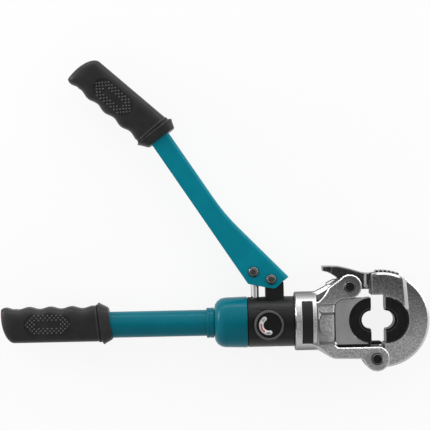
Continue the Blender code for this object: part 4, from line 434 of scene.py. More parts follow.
def smoothing():
    """Node group that shades a mesh smooth wherever two faces meet at a small angle."""
    group = bpy.data.node_groups.new("smooth_by_angle", "GeometryNodeTree")
    group.interface.new_socket("Geometry", in_out="INPUT", socket_type="NodeSocketGeometry")
    group.interface.new_socket("Geometry", in_out="OUTPUT", socket_type="NodeSocketGeometry")
    source = group.nodes.new("NodeGroupInput")
    result = group.nodes.new("NodeGroupOutput")
    angle = group.nodes.new("GeometryNodeInputMeshEdgeAngle")
    sharp = group.nodes.new("ShaderNodeMath")
    sharp.operation = "GREATER_THAN"
    sharp.inputs[1].default_value = SHARP_ANGLE
    normal = group.nodes.new("GeometryNodeSetMeshNormal")
    normal.inputs["Remove Custom"].default_value = True
    normal.inputs["Face Sharpness"].default_value = False
    group.links.new(angle.outputs["Unsigned Angle"], sharp.inputs[0])
    group.links.new(sharp.outputs[0], normal.inputs["Edge Sharpness"])
    group.links.new(source.outputs[0], normal.inputs["Mesh"])
    group.links.new(normal.outputs[0], result.inputs[0])
    return group


SMOOTH = smoothing()


def shade(target):
    """Smooth shading by angle, each normal led by the largest faces round it."""
    smooth = target.modifiers.new("smooth", "NODES")
    smooth.node_group = SMOOTH
    weighted = target.modifiers.new("normals", "WEIGHTED_NORMAL")
    weighted.mode = "FACE_AREA"
    weighted.keep_sharp = True


def soften(target, width):
    """Round an object's edges with modifiers, its flat faces first joined up; no width only shades it."""
    weld = target.modifiers.new("weld", "WELD")
    weld.merge_threshold = WELD_DISTANCE
    if width:
        join = target.modifiers.new("join", "DECIMATE")
        join.decimate_type = "DISSOLVE"
        join.angle_limit = FLAT_ANGLE
        bevel = target.modifiers.new("edges", "BEVEL")
        bevel.width = width
        bevel.segments = BEVEL_SEGMENTS
        bevel.limit_method = "ANGLE"
        bevel.angle_limit = BEVEL_ANGLE
        bevel.miter_outer = "MITER_ARC"
        bevel.use_clamp_overlap = True
    shade(target)


# Materials


class Look:
    """Nodes of one procedural material."""

    def __init__(self, name, colour, roughness, metallic=0.0, **inputs):
        self.material = bpy.data.materials.new(name)
        self.material.use_nodes = True
        self.tree = self.material.node_tree
        self.shader = self.tree.nodes["Principled BSDF"]
        self.shader.inputs["Base Color"].default_value = (*colour, 1)
        self.shader.inputs["Roughness"].default_value = roughness
        self.shader.inputs["Metallic"].default_value = metallic
        for key, value in inputs.items():
            self.shader.inputs[key.replace("_", " ")].default_value = value
        self.place = self.tree.nodes.new("ShaderNodeTexCoord").outputs["Object"]

    def link(self, output, target):
        """Join an output to an input."""
        self.tree.links.new(output, target)

    def noise(self, scale, detail=2.0, roughness=0.5, stretch=None):
        """Noise in object space; stretch squeezes the space along each axis."""
        node = self.tree.nodes.new("ShaderNodeTexNoise")
        node.inputs["Scale"].default_value = scale
        node.inputs["Detail"].default_value = detail
        node.inputs["Roughness"].default_value = roughness
        source = self.place
        if stretch:
            mapping = self.tree.nodes.new("ShaderNodeMapping")
            mapping.inputs["Scale"].default_value = stretch
            self.link(source, mapping.inputs["Vector"])
            source = mapping.outputs["Vector"]
        self.link(source, node.inputs["Vector"])
        return node.outputs["Fac"]

    def span(self, source, low, high, from_low=0.3, from_high=0.7):
        """Source mapped to a range of values."""
        node = self.tree.nodes.new("ShaderNodeMapRange")
        node.inputs["From Min"].default_value = from_low
        node.inputs["From Max"].default_value = from_high
        node.inputs["To Min"].default_value = low
        node.inputs["To Max"].default_value = high
        self.link(source, node.inputs["Value"])
        return node.outputs["Result"]

    def blend(self, source, dark, light, from_low=0.3, from_high=0.7):
        """Colour that runs from dark to light as the source rises, to the shader's colour."""
        self.colour(self.mixed(source, dark, light, from_low, from_high))

    def colour(self, source):
        """Colour of the shader from a source."""
        self.link(source, self.shader.inputs["Base Color"])

    def mixed(self, source, dark, light, from_low=0.3, from_high=0.7):
        """Colour between two colours, or two colour outputs, as the source rises."""
        node = self.tree.nodes.new("ShaderNodeMix")
        node.data_type = "RGBA"
        self.link(self.span(source, 0.0, 1.0, from_low, from_high), node.inputs["Factor"])
        ends = [socket for socket in node.inputs if socket.type == "RGBA"]
        for socket, value in zip(ends, (dark, light)):
            if isinstance(value, tuple):
                socket.default_value = (*value, 1)
            else:
                self.link(value, socket)
        return [socket for socket in node.outputs if socket.type == "RGBA"][0]

    def openness(self, distance, inside=False):
        """How little a place is hemmed in within a distance, from outside or from inside the body."""
        node = self.tree.nodes.new("ShaderNodeAmbientOcclusion")
        node.inside = inside
        node.only_local = True
        node.samples = AO_SAMPLES
        node.inputs["Distance"].default_value = distance
        return node.outputs["AO"]

    def edge_wear_and_highlight(self, distance):
        """How far a place is from a free edge: 1 well inside a face, less along its edges; it marks edges
        made bright partly by wear and partly as painted highlight.
        """
        return self.openness(distance, inside=True)

    def crevices(self, distance):
        """How open a place is: 1 on free faces, less in inner corners."""
        return self.openness(distance)

    def slope(self, direction):
        """Distance along a direction in object space."""
        node = self.tree.nodes.new("ShaderNodeVectorMath")
        node.operation = "DOT_PRODUCT"
        node.inputs[1].default_value = direction
        self.link(self.place, node.inputs[0])
        return node.outputs["Value"]

    def scaled(self, colour, factor):
        """Colour times a number."""
        node = self.tree.nodes.new("ShaderNodeVectorMath")
        node.operation = "SCALE"
        self.link(colour, node.inputs[0])
        self.link(factor, node.inputs["Scale"])
        return node.outputs["Vector"]

    def flat(self):
        """How far the surface faces along Z: 1 on the flanks of a plate, 0 on its edges."""
        place = self.tree.nodes.new("ShaderNodeTexCoord")
        split = self.tree.nodes.new("ShaderNodeSeparateXYZ")
        size = self.tree.nodes.new("ShaderNodeMath")
        size.operation = "ABSOLUTE"
        self.link(place.outputs["Normal"], split.inputs["Vector"])
        self.link(split.outputs["Z"], size.inputs[0])
        return size.outputs[0]

    def rough(self, source, low, high, from_low=0.3, from_high=0.7):
        """Roughness that follows a source."""
        self.link(self.span(source, low, high, from_low, from_high), self.shader.inputs["Roughness"])

    def bump(self, source, depth, strength=1.0):
        """Fine relief of a depth in metres."""
        node = self.tree.nodes.new("ShaderNodeBump")
        node.inputs["Strength"].default_value = strength
        node.inputs["Distance"].default_value = depth
        self.link(source, node.inputs["Height"])
        self.link(node.outputs["Normal"], self.shader.inputs["Normal"])


def grey(value):
    """Neutral colour."""
    return (value, value, value)


def painted_outline_shade(value):
    """Neutral grey that dims a metal's reflection where it grazes the surface: painted shade along its
    outlines.
    """
    return (*grey(value), 1)


def teal_paint(name="teal_paint", depth=1.0):
    """Glossy paint; a depth under 1 darkens its colour as painted shade, as on the round parts."""
    low = tuple(depth * value for value in (0.0004, 0.190, 0.255))
    high = tuple(depth * value for value in (0.0007, 0.215, 0.290))
    look = Look(name, high, 0.24, Specular_IOR_Level=0.12)
    look.blend(look.noise(38, 3), low, high)
    look.rough(look.noise(240, 2), 0.20, 0.28)
    look.bump(look.noise(900, 2), 0.00001, 0.4)
    return look.material


def black_metal():
    """Black coated metal of the pump block."""
    look = Look("black_metal", (0.008, 0.008, 0.0083), 0.36, Specular_IOR_Level=0.24)
    look.blend(look.noise(90, 3), (0.0055, 0.0055, 0.0058), (0.0105, 0.0105, 0.0108))
    look.rough(look.noise(420, 3), 0.32, 0.46)
    look.bump(look.noise(2400, 2), 0.00003, 0.5)
    return look.material


def grip_rubber():
    """Moulded rubber of the grips."""
    look = Look("grip_rubber", (0.016, 0.016, 0.0164), 0.44, Specular_IOR_Level=0.25)
    look.blend(look.noise(60, 3), (0.0125, 0.0125, 0.0129), (0.0200, 0.0200, 0.0205))
    look.rough(look.noise(300, 3), 0.38, 0.50)
    look.bump(look.noise(2600, 3), 0.00004, 0.5)
    return look.material


def pad_rubber_painted_highlight():
    """Rubber of the raised dots, polished by hands to a gloss; their colour, lighter than the grips', is
    painted highlight.
    """
    look = Look("pad_rubber_painted_highlight", (0.050, 0.050, 0.051), 0.34, Specular_IOR_Level=0.5)
    look.blend(look.noise(400, 2), (0.040, 0.040, 0.041), (0.065, 0.065, 0.066))
    look.rough(look.noise(900, 2), 0.28, 0.42)
    return look.material


def forged_steel():
    """Tumbled and plated forging: mottled flanks and large soft clouds, bright edges partly worn and partly
    painted highlight, and painted shade by corner, side and slope.
    """
    look = Look("forged_steel", grey(0.52), 0.40, 1.0, Specular_Tint=painted_outline_shade(0.35))
    fine = look.mixed(look.noise(520, 4, 0.65), grey(0.26), grey(0.60), 0.34, 0.62)
    mottled = look.mixed(look.noise(34, 2, 0.5), grey(0.33), fine, 0.36, 0.52)
    # Painted shade: a gradient, darker towards the lever's side (+Y) and lighter away from it.
    painted_gradient = look.scaled(mottled, look.span(look.slope((0.25, 1, 0)), 1.15, 0.34, -0.0875, -0.0325))
    # Painted shade: darker in inner corners and recesses.
    painted_corner_shade = look.scaled(painted_gradient, look.span(look.crevices(0.0030), 0.30, 1.0, 0.30, 0.80))
    # Painted shade and highlight by facing: faces tilted away from Z take greys of their own, darker the
    # steeper they stand.
    painted_tilt_shade = look.mixed(look.flat(), grey(0.34), grey(0.62), 0.45, 0.80)
    painted_facing_shade = look.mixed(look.flat(), painted_tilt_shade, painted_corner_shade, 0.80, 0.985)
    # Bright edges, partly wear and partly painted highlight.
    colour = look.mixed(look.edge_wear_and_highlight(0.0021), grey(0.66), painted_facing_shade, 0.58, 0.95)
    look.colour(colour)
    look.rough(look.noise(520, 3), 0.34, 0.46)
    look.bump(look.noise(420, 3, 0.55), 0.00010, 0.5)
    return look.material


def latch_steel():
    """Black flanks, with bright edges and side faces painted as highlight."""
    look = Look("latch_steel", grey(0.40), 0.34, 1.0, Specular_Tint=painted_outline_shade(0.5))
    dark = look.mixed(look.noise(260, 3), (0.045, 0.045, 0.047), (0.085, 0.085, 0.087))
    # Painted highlight: bright along the edges.
    painted_edge_highlight = look.mixed(look.edge_wear_and_highlight(0.0010), grey(0.50), dark, 0.50, 0.90)
    # Painted highlight: faces tilted away from Z painted light grey.
    colour = look.mixed(look.flat(), grey(0.60), painted_edge_highlight, 0.55, 0.93)
    look.colour(colour)
    look.rough(look.noise(520, 3), 0.28, 0.42)
    look.bump(look.noise(620, 3, 0.55), 0.00006, 0.5)
    return look.material


def painted_highlight_strip():
    """Bright metal of the strips laid on the latch as painted highlight."""
    look = Look("painted_highlight_strip", grey(0.70), 0.40, 1.0)
    look.blend(look.noise(400, 3), grey(0.60), grey(0.78))
    look.rough(look.noise(900, 2), 0.34, 0.48)
    return look.material


def satin_steel():
    """Ground steel, finely brushed."""
    look = Look("satin_steel", (0.50, 0.50, 0.505), 0.34, 1.0, Specular_Tint=painted_outline_shade(0.4))
    look.blend(look.noise(60, 3), (0.42, 0.42, 0.425), (0.56, 0.56, 0.565))
    look.rough(look.noise(900, 2, 0.5, (1, 8, 1)), 0.30, 0.40)
    look.bump(look.noise(1500, 2, 0.5, (1, 8, 1)), 0.00002, 0.5)
    return look.material


def polished_steel():
    """Bright turned steel."""
    look = Look("polished_steel", grey(0.74), 0.14, 1.0, Specular_Tint=painted_outline_shade(0.1))
    look.blend(look.noise(90, 2), grey(0.68), grey(0.78))
    look.rough(look.noise(700, 2, 0.5, (1, 12, 1)), 0.10, 0.20)
    look.bump(look.noise(2000, 2, 0.5, (1, 12, 1)), 0.00001, 0.4)
    return look.material


def gunmetal():
    """Dark plated steel."""
    look = Look("gunmetal", (0.12, 0.115, 0.115), 0.30, 1.0)
    look.blend(look.noise(300, 3), (0.09, 0.085, 0.085), (0.16, 0.15, 0.15))
    look.rough(look.noise(900, 2), 0.24, 0.38)
    look.bump(look.noise(1800, 2), 0.00003, 0.5)
    return look.material


def black_oxide():
    """Blackened steel, lighter along its edges, partly rubbed bare and partly painted highlight."""
    look = Look("black_oxide", grey(0.012), 0.38, 0.6, Specular_IOR_Level=0.35)
    dark = look.mixed(look.noise(200, 3), grey(0.009), grey(0.016))
    # Light edges: partly wear, partly painted highlight.
    colour = look.mixed(look.edge_wear_and_highlight(0.0010), grey(0.16), dark, 0.50, 0.88)
    look.colour(colour)
    look.rough(look.noise(700, 2), 0.32, 0.44)
    look.bump(look.noise(2200, 2), 0.00002, 0.5)
    return look.material


def plate_rim():
    """Brushed aluminium border of the plate."""
    look = Look("plate_rim", grey(0.62), 0.42, 0.8)
    look.blend(look.noise(300, 2, 0.5, (1, 6, 1)), grey(0.54), grey(0.68))
    look.rough(look.noise(900, 2), 0.36, 0.50)
    return look.material


def clip_steel():
    """Phosphated spring steel of the circlips."""
    look = Look("clip_steel", grey(0.05), 0.36, 1.0)
    look.blend(look.noise(500, 3), grey(0.03), grey(0.07))
    look.rough(look.noise(900, 2), 0.30, 0.42)
    return look.material


def bolt_steel():
    """Blackened steel of the bolts, oiled."""
    look = Look("bolt_steel", (0.10, 0.095, 0.095), 0.24, 1.0, Specular_Tint=painted_outline_shade(0.3))
    look.blend(look.noise(300, 3), (0.085, 0.080, 0.080), (0.15, 0.14, 0.14))
    look.rough(look.noise(900, 2), 0.20, 0.32)
    look.bump(look.noise(1800, 2), 0.00002, 0.5)
    return look.material


def knob_plastic(name, low, high):
    """Moulded plastic between two colours."""
    look = Look(name, high, 0.45, Specular_IOR_Level=0.2)
    look.blend(look.noise(120, 2), low, high)
    look.rough(look.noise(800, 2), 0.40, 0.52)
    look.bump(look.noise(3000, 2), 0.00002, 0.5)
    return look.material


def seal_rubber():
    """Dull rubber of the seals."""
    look = Look("seal_rubber", grey(0.012), 0.7)
    look.rough(look.noise(900, 2), 0.6, 0.8)
    return look.material


def bronze():
    """Turned bronze of the bushes."""
    look = Look("bronze", (0.42, 0.24, 0.09), 0.4, 1.0)
    look.rough(look.noise(900, 2), 0.32, 0.48)
    return look.material


def printed(name, colour):
    """Printed or painted sign."""
    look = Look(name, colour, 0.4, Specular_IOR_Level=0.25)
    low = tuple(0.85 * value for value in colour)
    look.blend(look.noise(900, 2), low, colour)
    look.rough(look.noise(900, 2), 0.36, 0.46)
    return look.material


TEAL = teal_paint()
# Teal darkened as painted shade, for the round parts.
TEAL_PAINTED_SHADE = teal_paint("teal_paint_painted_shade", 0.64)
BLACK_METAL = black_metal()
RUBBER = grip_rubber()
FORGED = forged_steel()
SATIN = satin_steel()
POLISHED = polished_steel()
GUNMETAL = gunmetal()
OXIDE = black_oxide()
PLASTIC = knob_plastic("knob_rim", grey(0.060), (0.085, 0.085, 0.086))
PAD_RUBBER_AND_HIGHLIGHT = pad_rubber_painted_highlight()
BOLT = bolt_steel()
DIAL = knob_plastic("knob_dial", grey(0.003), grey(0.006))
LATCH = latch_steel()
PAINTED_HIGHLIGHT_STRIP = painted_highlight_strip()
CLIP = clip_steel()
PLATE_RIM = plate_rim()
SEAL = seal_rubber()
BRONZE = bronze()
PRINT_WHITE = printed("print_white", (0.74, 0.74, 0.73))
PRINT_RED = printed("print_red", (0.62, 0.03, 0.03))
PRINT_DARK = printed("print_dark", grey(0.010))

# Materials by slot, and by node where a node's look differs from its slot's
BY_SLOT = {
    "teal_paint": TEAL,
    "black_metal": BLACK_METAL,
    "grip_rubber": RUBBER,
    "chrome": FORGED,
    "steel": SATIN,
    "dark_steel": GUNMETAL,
    "knob_plastic": PLASTIC,
    "seal_rubber": SEAL,
    "bronze": BRONZE,
}
BY_NODE = {
    # The round parts take the teal darkened as painted shade.
    "reservoir_cap": TEAL_PAINTED_SHADE,
    "tube_collar": TEAL_PAINTED_SHADE,
    "fixed_tube": TEAL_PAINTED_SHADE,
    "pump_plunger": POLISHED,
    "latch_lever": LATCH,
    "latch_cross_pin": POLISHED,
    "moving_die": OXIDE,
    "fixed_die": OXIDE,
    "jaw_pin": OXIDE,
    "latch_pin": OXIDE,
    "guide_key": OXIDE,
    "jaw_pin_circlip_top": CLIP,
    "jaw_pin_circlip_bottom": CLIP,
    "latch_pin_circlip_top": CLIP,
    "latch_pin_circlip_bottom": CLIP,
}

# Widths of the rounded edges
SOFT_EDGES = {
    "pump_block": 0.0003,
    "reservoir_cap": 0.0004,
    "tube_collar": 0.0003,
    "lever_channel": 0.0004,
    "head_frame": 0.0006,
    "swing_jaw": 0.0006,
    "latch_lever": 0.0007,
    "ram_slide": 0.0005,
    "moving_die": 0.0003,
    "fixed_die": 0.0003,
    "guide_key": 0.0002,
    "lever_pivot_nut": 0.0002,
    "plunger_pin_nut": 0.0002,
}


def dress_cad():
    """Materials and soft edges for the CAD nodes that stay."""
    for name, node in frame["nodes"].items():
        slot = node.data.materials[0].name.split(".")[0]
        node.data.materials[0] = BY_NODE.get(name, BY_SLOT[slot])
        soften(node, SOFT_EDGES.get(name, 0))


# Pieces of their own


def soft_spring():
    """Return spring as a piece of its own, riding on the head."""
    node = frame["nodes"]["return_spring"]
    made = bpy.data.objects.new("return_spring_coil", node.data.copy())
    bpy.context.scene.collection.objects.link(made)
    made.data.materials[0] = SATIN
    soften(made, 0)
    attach(made, "head")
    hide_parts("return_spring")
    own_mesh(made)


def dot(mesh, x, y, matrix):
    """One raised dot with a rounded top, added to a mesh."""
    low = PAD_FLOOR - PAD_DOT_SINK
    high = PAD_FLOOR + PAD_DOT_HEIGHT
    rings = []
    for share, size in PAD_DOT_FORM:
        ring = []
        for index in range(PAD_DOT_SIDES):
            across, up = polar(size * PAD_DOT_RADIUS, 2 * math.pi * index / PAD_DOT_SIDES)
            point = Vector((x + across, y + PAD_DOT_STRETCH * up, low + share * (high - low)))
            ring.append(mesh.verts.new(matrix @ point))
        rings.append(ring)
    mesh.faces.new(rings[0])
    mesh.faces.new(rings[-1])
    bridge(mesh, rings)


def stadium_reach(x, y, length, width):
    """Distance of a point from the middle line of a stadium shape round the origin."""
    return math.hypot(max(0.0, abs(x) - (length - width) / 2), y)


def pad_dots(matrix, side):
    """Staggered dots round the blank middle of the pads on a grip's two flanks."""
    mesh = bmesh.new()
    for row in range(-PAD_ROWS_EACH_WAY, PAD_ROWS_EACH_WAY + 1):
        for column in range(-PAD_COLUMNS_EACH_WAY, PAD_COLUMNS_EACH_WAY + 1):
            x = (column + 0.5 * (row % 2)) * PAD_DOT_PITCH
            y = row * PAD_DOT_ROW
            if stadium_reach(x, y, PAD_BLANK_LENGTH, PAD_BLANK_WIDTH) < PAD_BLANK_WIDTH / 2:
                continue
            if stadium_reach(x, y, PAD_LENGTH, PAD_WIDTH) > PAD_WIDTH / 2 - PAD_DOT_MARGIN:
                continue
            for flank in (1, -1):
                flip = Matrix.Diagonal((1, 1, flank, 1))
                dot(mesh, PAD_CENTRE + x, side * PAD_OFFSET + y, matrix @ flip)
    return mesh


def grip(name, body, side, flange_tilt, matrix, node):
    """Grip with recessed pads and their dots, placed by a matrix in the tool's own directions."""
    mesh = grip_mesh(side, flange_tilt)
    outline = stadium(PAD_LENGTH, PAD_WIDTH, PAD_CENTRE, side * PAD_OFFSET)
    deep = GRIP_HALF_THICKNESS + 0.001
    mesh = cut(mesh, prism(outline, PAD_FLOOR, deep))
    mesh = cut(mesh, prism(outline, -deep, -PAD_FLOOR))
    bmesh.ops.transform(mesh, matrix=matrix, verts=mesh.verts)
    made = piece(name, mesh, body, RUBBER, (node,))
    bevel = made.modifiers.new("edges", "BEVEL")
    bevel.width = GRIP_EDGE
    bevel.segments = BEVEL_SEGMENTS
    bevel.limit_method = "ANGLE"
    bevel.angle_limit = GRIP_EDGE_ANGLE
    shade(made)
    piece(f"{name}_dots", pad_dots(matrix, side), body, PAD_RUBBER_AND_HIGHLIGHT)


def lever_axes():
    """Directions along the lever's flat part and across it."""
    along = Vector((math.cos(LEVER_ANGLE), math.sin(LEVER_ANGLE), 0))
    across = Vector((math.sin(LEVER_ANGLE), -math.cos(LEVER_ANGLE), 0))
    return along, across


def grips():
    """The fixed and the moving grip."""
    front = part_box("tube_collar")[0].x - TOOL_AT.x - TUBE_VISIBLE
    fixed = Matrix.Translation((front, GRIP_LIFT, 0)) @ Matrix.Rotation(math.pi, 4, "Z")
    grip("fixed_grip_soft", "pump_body", -1, FIXED_FLANGE_TILT, fixed, "fixed_grip")
    along, across = lever_axes()
    bend = LEVER_PIVOT + along * LEVER_BEND_AT + across * (LEVER_OPEN_EDGE + LEVER_DEPTH / 2)
    angle = LEVER_ANGLE + LEVER_BEND
    direction = Vector((math.cos(angle), math.sin(angle), 0))
    moving = Matrix.Translation(bend - direction * GRIP_BEFORE_BEND) @ Matrix.Rotation(angle, 4, "Z")
    grip("moving_grip_soft", "lever", 1, MOVING_FLANGE_TILT, moving, "moving_grip")


def arc_band(width, start, end, low, high, steps=40, round_ends=True):
    """Flat band along the knob's arc, between two angles in degrees and two heights."""
    half = width / 2
    first = math.radians(start)
    last = math.radians(end)
    turns = [first + (last - first) * index / steps for index in range(steps + 1)]
    outline = [polar(ARC_RADIUS + half, turn, ARC_CENTRE) for turn in turns]
    if round_ends:
        outline += end_cap(half, last, 0)
    outline += [polar(ARC_RADIUS - half, turn, ARC_CENTRE) for turn in reversed(turns)]
    if round_ends:
        outline += end_cap(half, first, math.pi)
    return prism(outline, low, high)


def end_cap(half, angle, start, steps=8):
    """Points of a round end of an arc band, its half circle begun at a turn from the end's own angle."""
    centre = polar(ARC_RADIUS, angle, ARC_CENTRE)
    return [polar(half, angle + start + math.pi * index / steps, centre) for index in range(1, steps)]


def bolt(name, at, body, node):
    """Bolt with a smooth domed head and a hexagon socket."""
    dome = []
    for index in range(DOME_STEPS + 1):
        turn = math.radians(DOME_START + (90 - DOME_START) * index / DOME_STEPS)
        high = BOLT_SEAT + BOLT_HEAD_RIM + (BOLT_HEAD_HEIGHT - BOLT_HEAD_RIM) * math.sin(turn)
        dome.append((high, BOLT_HEAD_RADIUS * math.cos(turn) ** DOME_POWER if index < DOME_STEPS else 0))
    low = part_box(node)[0].z - TOOL_AT.z
    profile = [
        (low, 0),
        (low, BOLT_RADIUS - BOLT_CHAMFER),
        (low + BOLT_CHAMFER, BOLT_RADIUS),
        (BOLT_SEAT, BOLT_RADIUS),
        (BOLT_SEAT, BOLT_HEAD_RADIUS - BOLT_HEAD_EDGE),
        (BOLT_SEAT + BOLT_HEAD_EDGE, BOLT_HEAD_RADIUS),
    ]
    hexagon = [polar(SOCKET_RADIUS, math.radians(60 * corner)) for corner in range(6)]
    socket = prism(hexagon, BOLT_SEAT + SOCKET_FLOOR * BOLT_HEAD_HEIGHT, BOLT_SEAT + 2 * BOLT_HEAD_HEIGHT)
    mesh = cut(turned(profile + dome, BOLT_SIDES), socket)
    bmesh.ops.translate(mesh, vec=at, verts=mesh.verts)
    shade(piece(name, mesh, body, BOLT, (node,)))


def bolts():
    """The lever's pivot bolt and the plunger's pin."""
    along, across = lever_axes()
    pin_at = LEVER_PIVOT + along * PIN_ALONG + across * PIN_ACROSS
    places = (("pivot_bolt", LEVER_PIVOT, "lever_pivot_bolt"), ("pin_bolt", pin_at, "plunger_pin_bolt"))
    for name, at, node in places:
        bolt(name, at, frame["nodes"][node]["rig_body"], node)


def knob():
    """Knob as a grey rim ring and the black dial inside it."""
    dial = KNOB_RADIUS - KNOB_RIM
    skirt = KNOB_RADIUS - KNOB_SKIRT_STEP
    rim = [
        (KNOB_SEAT, dial - KNOB_GAP),
        (KNOB_SEAT, skirt - KNOB_FOOT),
        (KNOB_SEAT + KNOB_FOOT, skirt),
        (KNOB_TOP - KNOB_SKIRT_TOP * KNOB_CHAMFER, skirt),
    ]
    for down, inward in KNOB_EDGE_FORM:
        rim.append((KNOB_TOP - down * KNOB_CHAMFER, KNOB_RADIUS - inward * KNOB_CHAMFER))
    rim.append((KNOB_TOP - KNOB_RECESS - RIM_DROP, dial - KNOB_GAP))
    made = piece("knob_rim", turned(rim, at=KNOB_AT), "release_valve", PLASTIC,
                 ("release_knob",))
    shade(made)
    low = KNOB_SEAT + KNOB_GAP
    edge = dial - KNOB_GAP - DIAL_INSET
    face = [
        (KNOB_HOLE_TOP, 0),
        (KNOB_HOLE_TOP, KNOB_HOLE),
        (low, KNOB_HOLE),
        (low, edge),
        (KNOB_TOP - KNOB_RECESS - DIAL_EDGE, edge),
        (KNOB_TOP - KNOB_RECESS, edge - DIAL_EDGE),
        (KNOB_TOP - KNOB_RECESS, 0),
    ]
    shade(piece("knob_dial", turned(face, at=KNOB_AT), "release_valve", DIAL))


def knob_marks():
    """White arc printed on the knob's dial, with a red double arrow and plain bars at its ends."""
    dial = KNOB_TOP - KNOB_RECESS
    high = dial + MARK_STAND
    band = arc_band(ARC_WIDTH, ARC_START, ARC_END, dial - ARC_SINK, dial + ARC_STAND)
    piece("knob_arc", band, "release_valve", PRINT_WHITE)
    arrow = arc_band(ARROW_WIDTH, ARROW_START, ARROW_END, dial, high, 16, False)
    piece("knob_arrow", arrow, "release_valve", PRINT_RED)
    tips = bmesh.new()
    for at, towards in ((ARROW_START, -1), (ARROW_END, 1)):
        base = math.radians(at)
        corners = [
            polar(ARC_RADIUS, math.radians(at + towards * ARROW_TIP_TURN), ARC_CENTRE),
            polar(ARC_RADIUS + ARROW_TIP_HALF, base, ARC_CENTRE),
            polar(ARC_RADIUS - ARROW_TIP_HALF, base, ARC_CENTRE),
        ]
        merge(tips, prism(corners, dial, high))
    piece("knob_arrow_tips", tips, "release_valve", PRINT_RED)
    for mark, first in MARK_STARTS.items():
        bars = bmesh.new()
        for index in range(MARK_BARS):
            at = first + MARK_PITCH * index
            merge(bars, arc_band(MARK_WIDTH, at - MARK_HALF_TURN, at + MARK_HALF_TURN, dial, high, 3, False))
        piece(mark, bars, "release_valve", PRINT_DARK)


def label_plate():
    """Bare black plate with a silver border, wrapped on the head's collar."""
    first = math.asin(PLATE_BOTTOM / COLLAR_RADIUS)
    last = math.asin(PLATE_TOP / COLLAR_RADIUS)

    def patch(x_low, x_high, a_low, a_high, low, high, steps=28):
        """Bent plate between two places along X, two angles and two radii."""
        mesh = bmesh.new()
        rings = []
        for index in range(steps + 1):
            angle = a_low + (a_high - a_low) * index / steps
            ring = []
            for x, radius in ((x_low, low), (x_high, low), (x_high, high), (x_low, high)):
                ring.append(mesh.verts.new((x, radius * math.sin(angle), radius * math.cos(angle))))
            rings.append(ring)
        mesh.faces.new(rings[0])
        mesh.faces.new(rings[-1])
        bridge(mesh, rings)
        return mesh

    low = COLLAR_RADIUS - PLATE_SINK
    rim = patch(PLATE_LEFT, PLATE_RIGHT, first, last, low, COLLAR_RADIUS + PLATE_RIM_STAND)
    shade(piece("label_plate_rim", rim, "head", PLATE_RIM))
    inset = PLATE_BORDER / COLLAR_RADIUS
    face = patch(PLATE_LEFT + PLATE_BORDER, PLATE_RIGHT - PLATE_BORDER, first + inset, last - inset,
                 low, COLLAR_RADIUS + PLATE_FACE_STAND)
    shade(piece("label_plate_face", face, "head", PRINT_DARK))


def latch_highlight_strip():
    """Bright strip along the latch's back and the rib beside its tooth, on both flanks, as painted highlight.
    """
    inner = []
    for index, (x, y) in enumerate(LATCH_BACK):
        before = Vector(LATCH_BACK[max(0, index - 1)])
        after = Vector(LATCH_BACK[min(len(LATCH_BACK) - 1, index + 1)])
        along = (after - before).normalized()
        inner.append((x + along.y * LATCH_RIM_WIDTH, y - along.x * LATCH_RIM_WIDTH))
    highlight_strips = bmesh.new()
    split = max(index for index, (x, _) in enumerate(LATCH_BACK) if x <= LATCH_TAIL_END + TINY)
    parts = (
        (LATCH_BACK[:split + 1] + tuple(reversed(inner[:split + 1])), LATCH_TAIL_HALF),
        (LATCH_BACK[split:] + tuple(reversed(inner[split:])), LATCH_HALF),
        (LATCH_RIB, LATCH_HALF),
    )
    for outline, half in parts:
        for side in (1, -1):
            low, high = sorted((side * (half - LATCH_TRIM_SINK), side * (half + LATCH_TRIM_STAND)))
            merge(highlight_strips, prism(outline, low, high))
    soften(piece("latch_highlight_strip", highlight_strips, "latch", PAINTED_HIGHLIGHT_STRIP), LATCH_TRIM_EDGE)


# Stage


def floor():
    """Plain pale floor under the object, seen as white with a faint shadow of the object on it."""
    data = bpy.data.meshes.new("floor")
    corners = [(x * FLOOR_HALF, y * FLOOR_HALF, 0) for x, y in ((-1, -1), (1, -1), (1, 1), (-1, 1))]
    data.from_pydata(corners, [], [(0, 1, 2, 3)])
    made = bpy.data.objects.new("floor", data)
    bpy.context.scene.collection.objects.link(made)
    material = bpy.data.materials.new("floor")
    material.use_nodes = True
    tree = material.node_tree
    tree.nodes.clear()
    output = tree.nodes.new("ShaderNodeOutputMaterial")
    plain = tree.nodes.new("ShaderNodeBsdfDiffuse")
    plain.inputs["Color"].default_value = (*grey(FLOOR_GREY), 1)
    pale = tree.nodes.new("ShaderNodeBsdfDiffuse")
    pale.inputs["Color"].default_value = (*grey(1.0), 1)
    glow = tree.nodes.new("ShaderNodeEmission")
    white = tree.nodes.new("ShaderNodeMixShader")
    white.inputs[0].default_value = FLOOR_GLOW
    tree.links.new(pale.outputs[0], white.inputs[1])
    tree.links.new(glow.outputs[0], white.inputs[2])
    path = tree.nodes.new("ShaderNodeLightPath")
    seen = path.outputs["Is Camera Ray"]
    for ray in ("Is Glossy Ray", "Is Transmission Ray"):
        either = tree.nodes.new("ShaderNodeMath")
        either.operation = "MAXIMUM"
        tree.links.new(seen, either.inputs[0])
        tree.links.new(path.outputs[ray], either.inputs[1])
        seen = either.outputs[0]
    mix = tree.nodes.new("ShaderNodeMixShader")
    tree.links.new(seen, mix.inputs[0])
    tree.links.new(plain.outputs[0], mix.inputs[1])
    tree.links.new(white.outputs[0], mix.inputs[2])
    tree.links.new(mix.outputs[0], output.inputs["Surface"])
    data.materials.append(material)


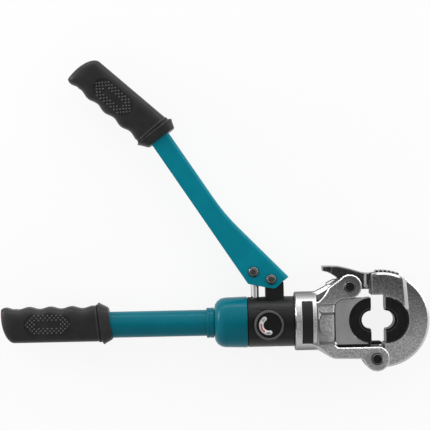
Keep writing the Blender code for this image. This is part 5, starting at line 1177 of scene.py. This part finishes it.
def lamp(name, at, width, height, power):
    """Soft rectangular lamp that faces the object."""
    data = bpy.data.lights.new(name, "AREA")
    data.shape = "RECTANGLE"
    data.size = width
    data.size_y = height
    data.energy = power
    made = bpy.data.objects.new(name, data)
    bpy.context.scene.collection.objects.link(made)
    made.location = at
    made.rotation_euler = (Vector(LAMP_TARGET) - Vector(at)).to_track_quat("-Z", "Y").to_euler()


def studio():
    """World that is brighter near the horizon and on the lever's side than overhead, and three soft lamps."""
    world = bpy.data.worlds.new("studio")
    bpy.context.scene.world = world
    world.use_nodes = True
    tree = world.node_tree
    background = tree.nodes["Background"]
    place = tree.nodes.new("ShaderNodeTexCoord")
    split = tree.nodes.new("ShaderNodeSeparateXYZ")
    ramp = tree.nodes.new("ShaderNodeValToRGB")
    tree.links.new(place.outputs["Generated"], split.inputs["Vector"])
    tree.links.new(split.outputs["Z"], ramp.inputs["Fac"])
    tree.links.new(ramp.outputs["Color"], background.inputs["Color"])
    tilt = tree.nodes.new("ShaderNodeMath")
    tilt.operation = "MULTIPLY_ADD"
    tilt.inputs[1].default_value = SKY_TILT
    tilt.inputs[2].default_value = 1.0
    tree.links.new(split.outputs["Y"], tilt.inputs[0])
    tree.links.new(tilt.outputs[0], background.inputs["Strength"])
    stops = ramp.color_ramp.elements
    stops[0].position = SKY[0][0]
    stops[1].position = SKY[-1][0]
    for position, _ in SKY[1:-1]:
        stops.new(position)
    for stop, (_, value) in zip(stops, SKY):
        stop.color = (*grey(value), 1)
    for row in LAMPS:
        lamp(*row)


def camera():
    """Camera at the photograph's angle and distance."""
    data = bpy.data.cameras.new("camera")
    data.sensor_width = SENSOR
    data.lens = SENSOR * VIEW_DISTANCE / VIEW_WIDTH
    made = bpy.data.objects.new("camera", data)
    bpy.context.scene.collection.objects.link(made)
    made.location = to_frame(VIEW_CENTRE) + Vector((0, 0, VIEW_DISTANCE))
    made.rotation_euler = (0, 0, VIEW_ROLL)
    bpy.context.scene.camera = made


camera()
floor()
studio()
dress_cad()
soft_spring()
grips()
bolts()
knob()
knob_marks()
label_plate()
latch_highlight_strip()
bpy.context.scene.view_settings.view_transform = "Standard"
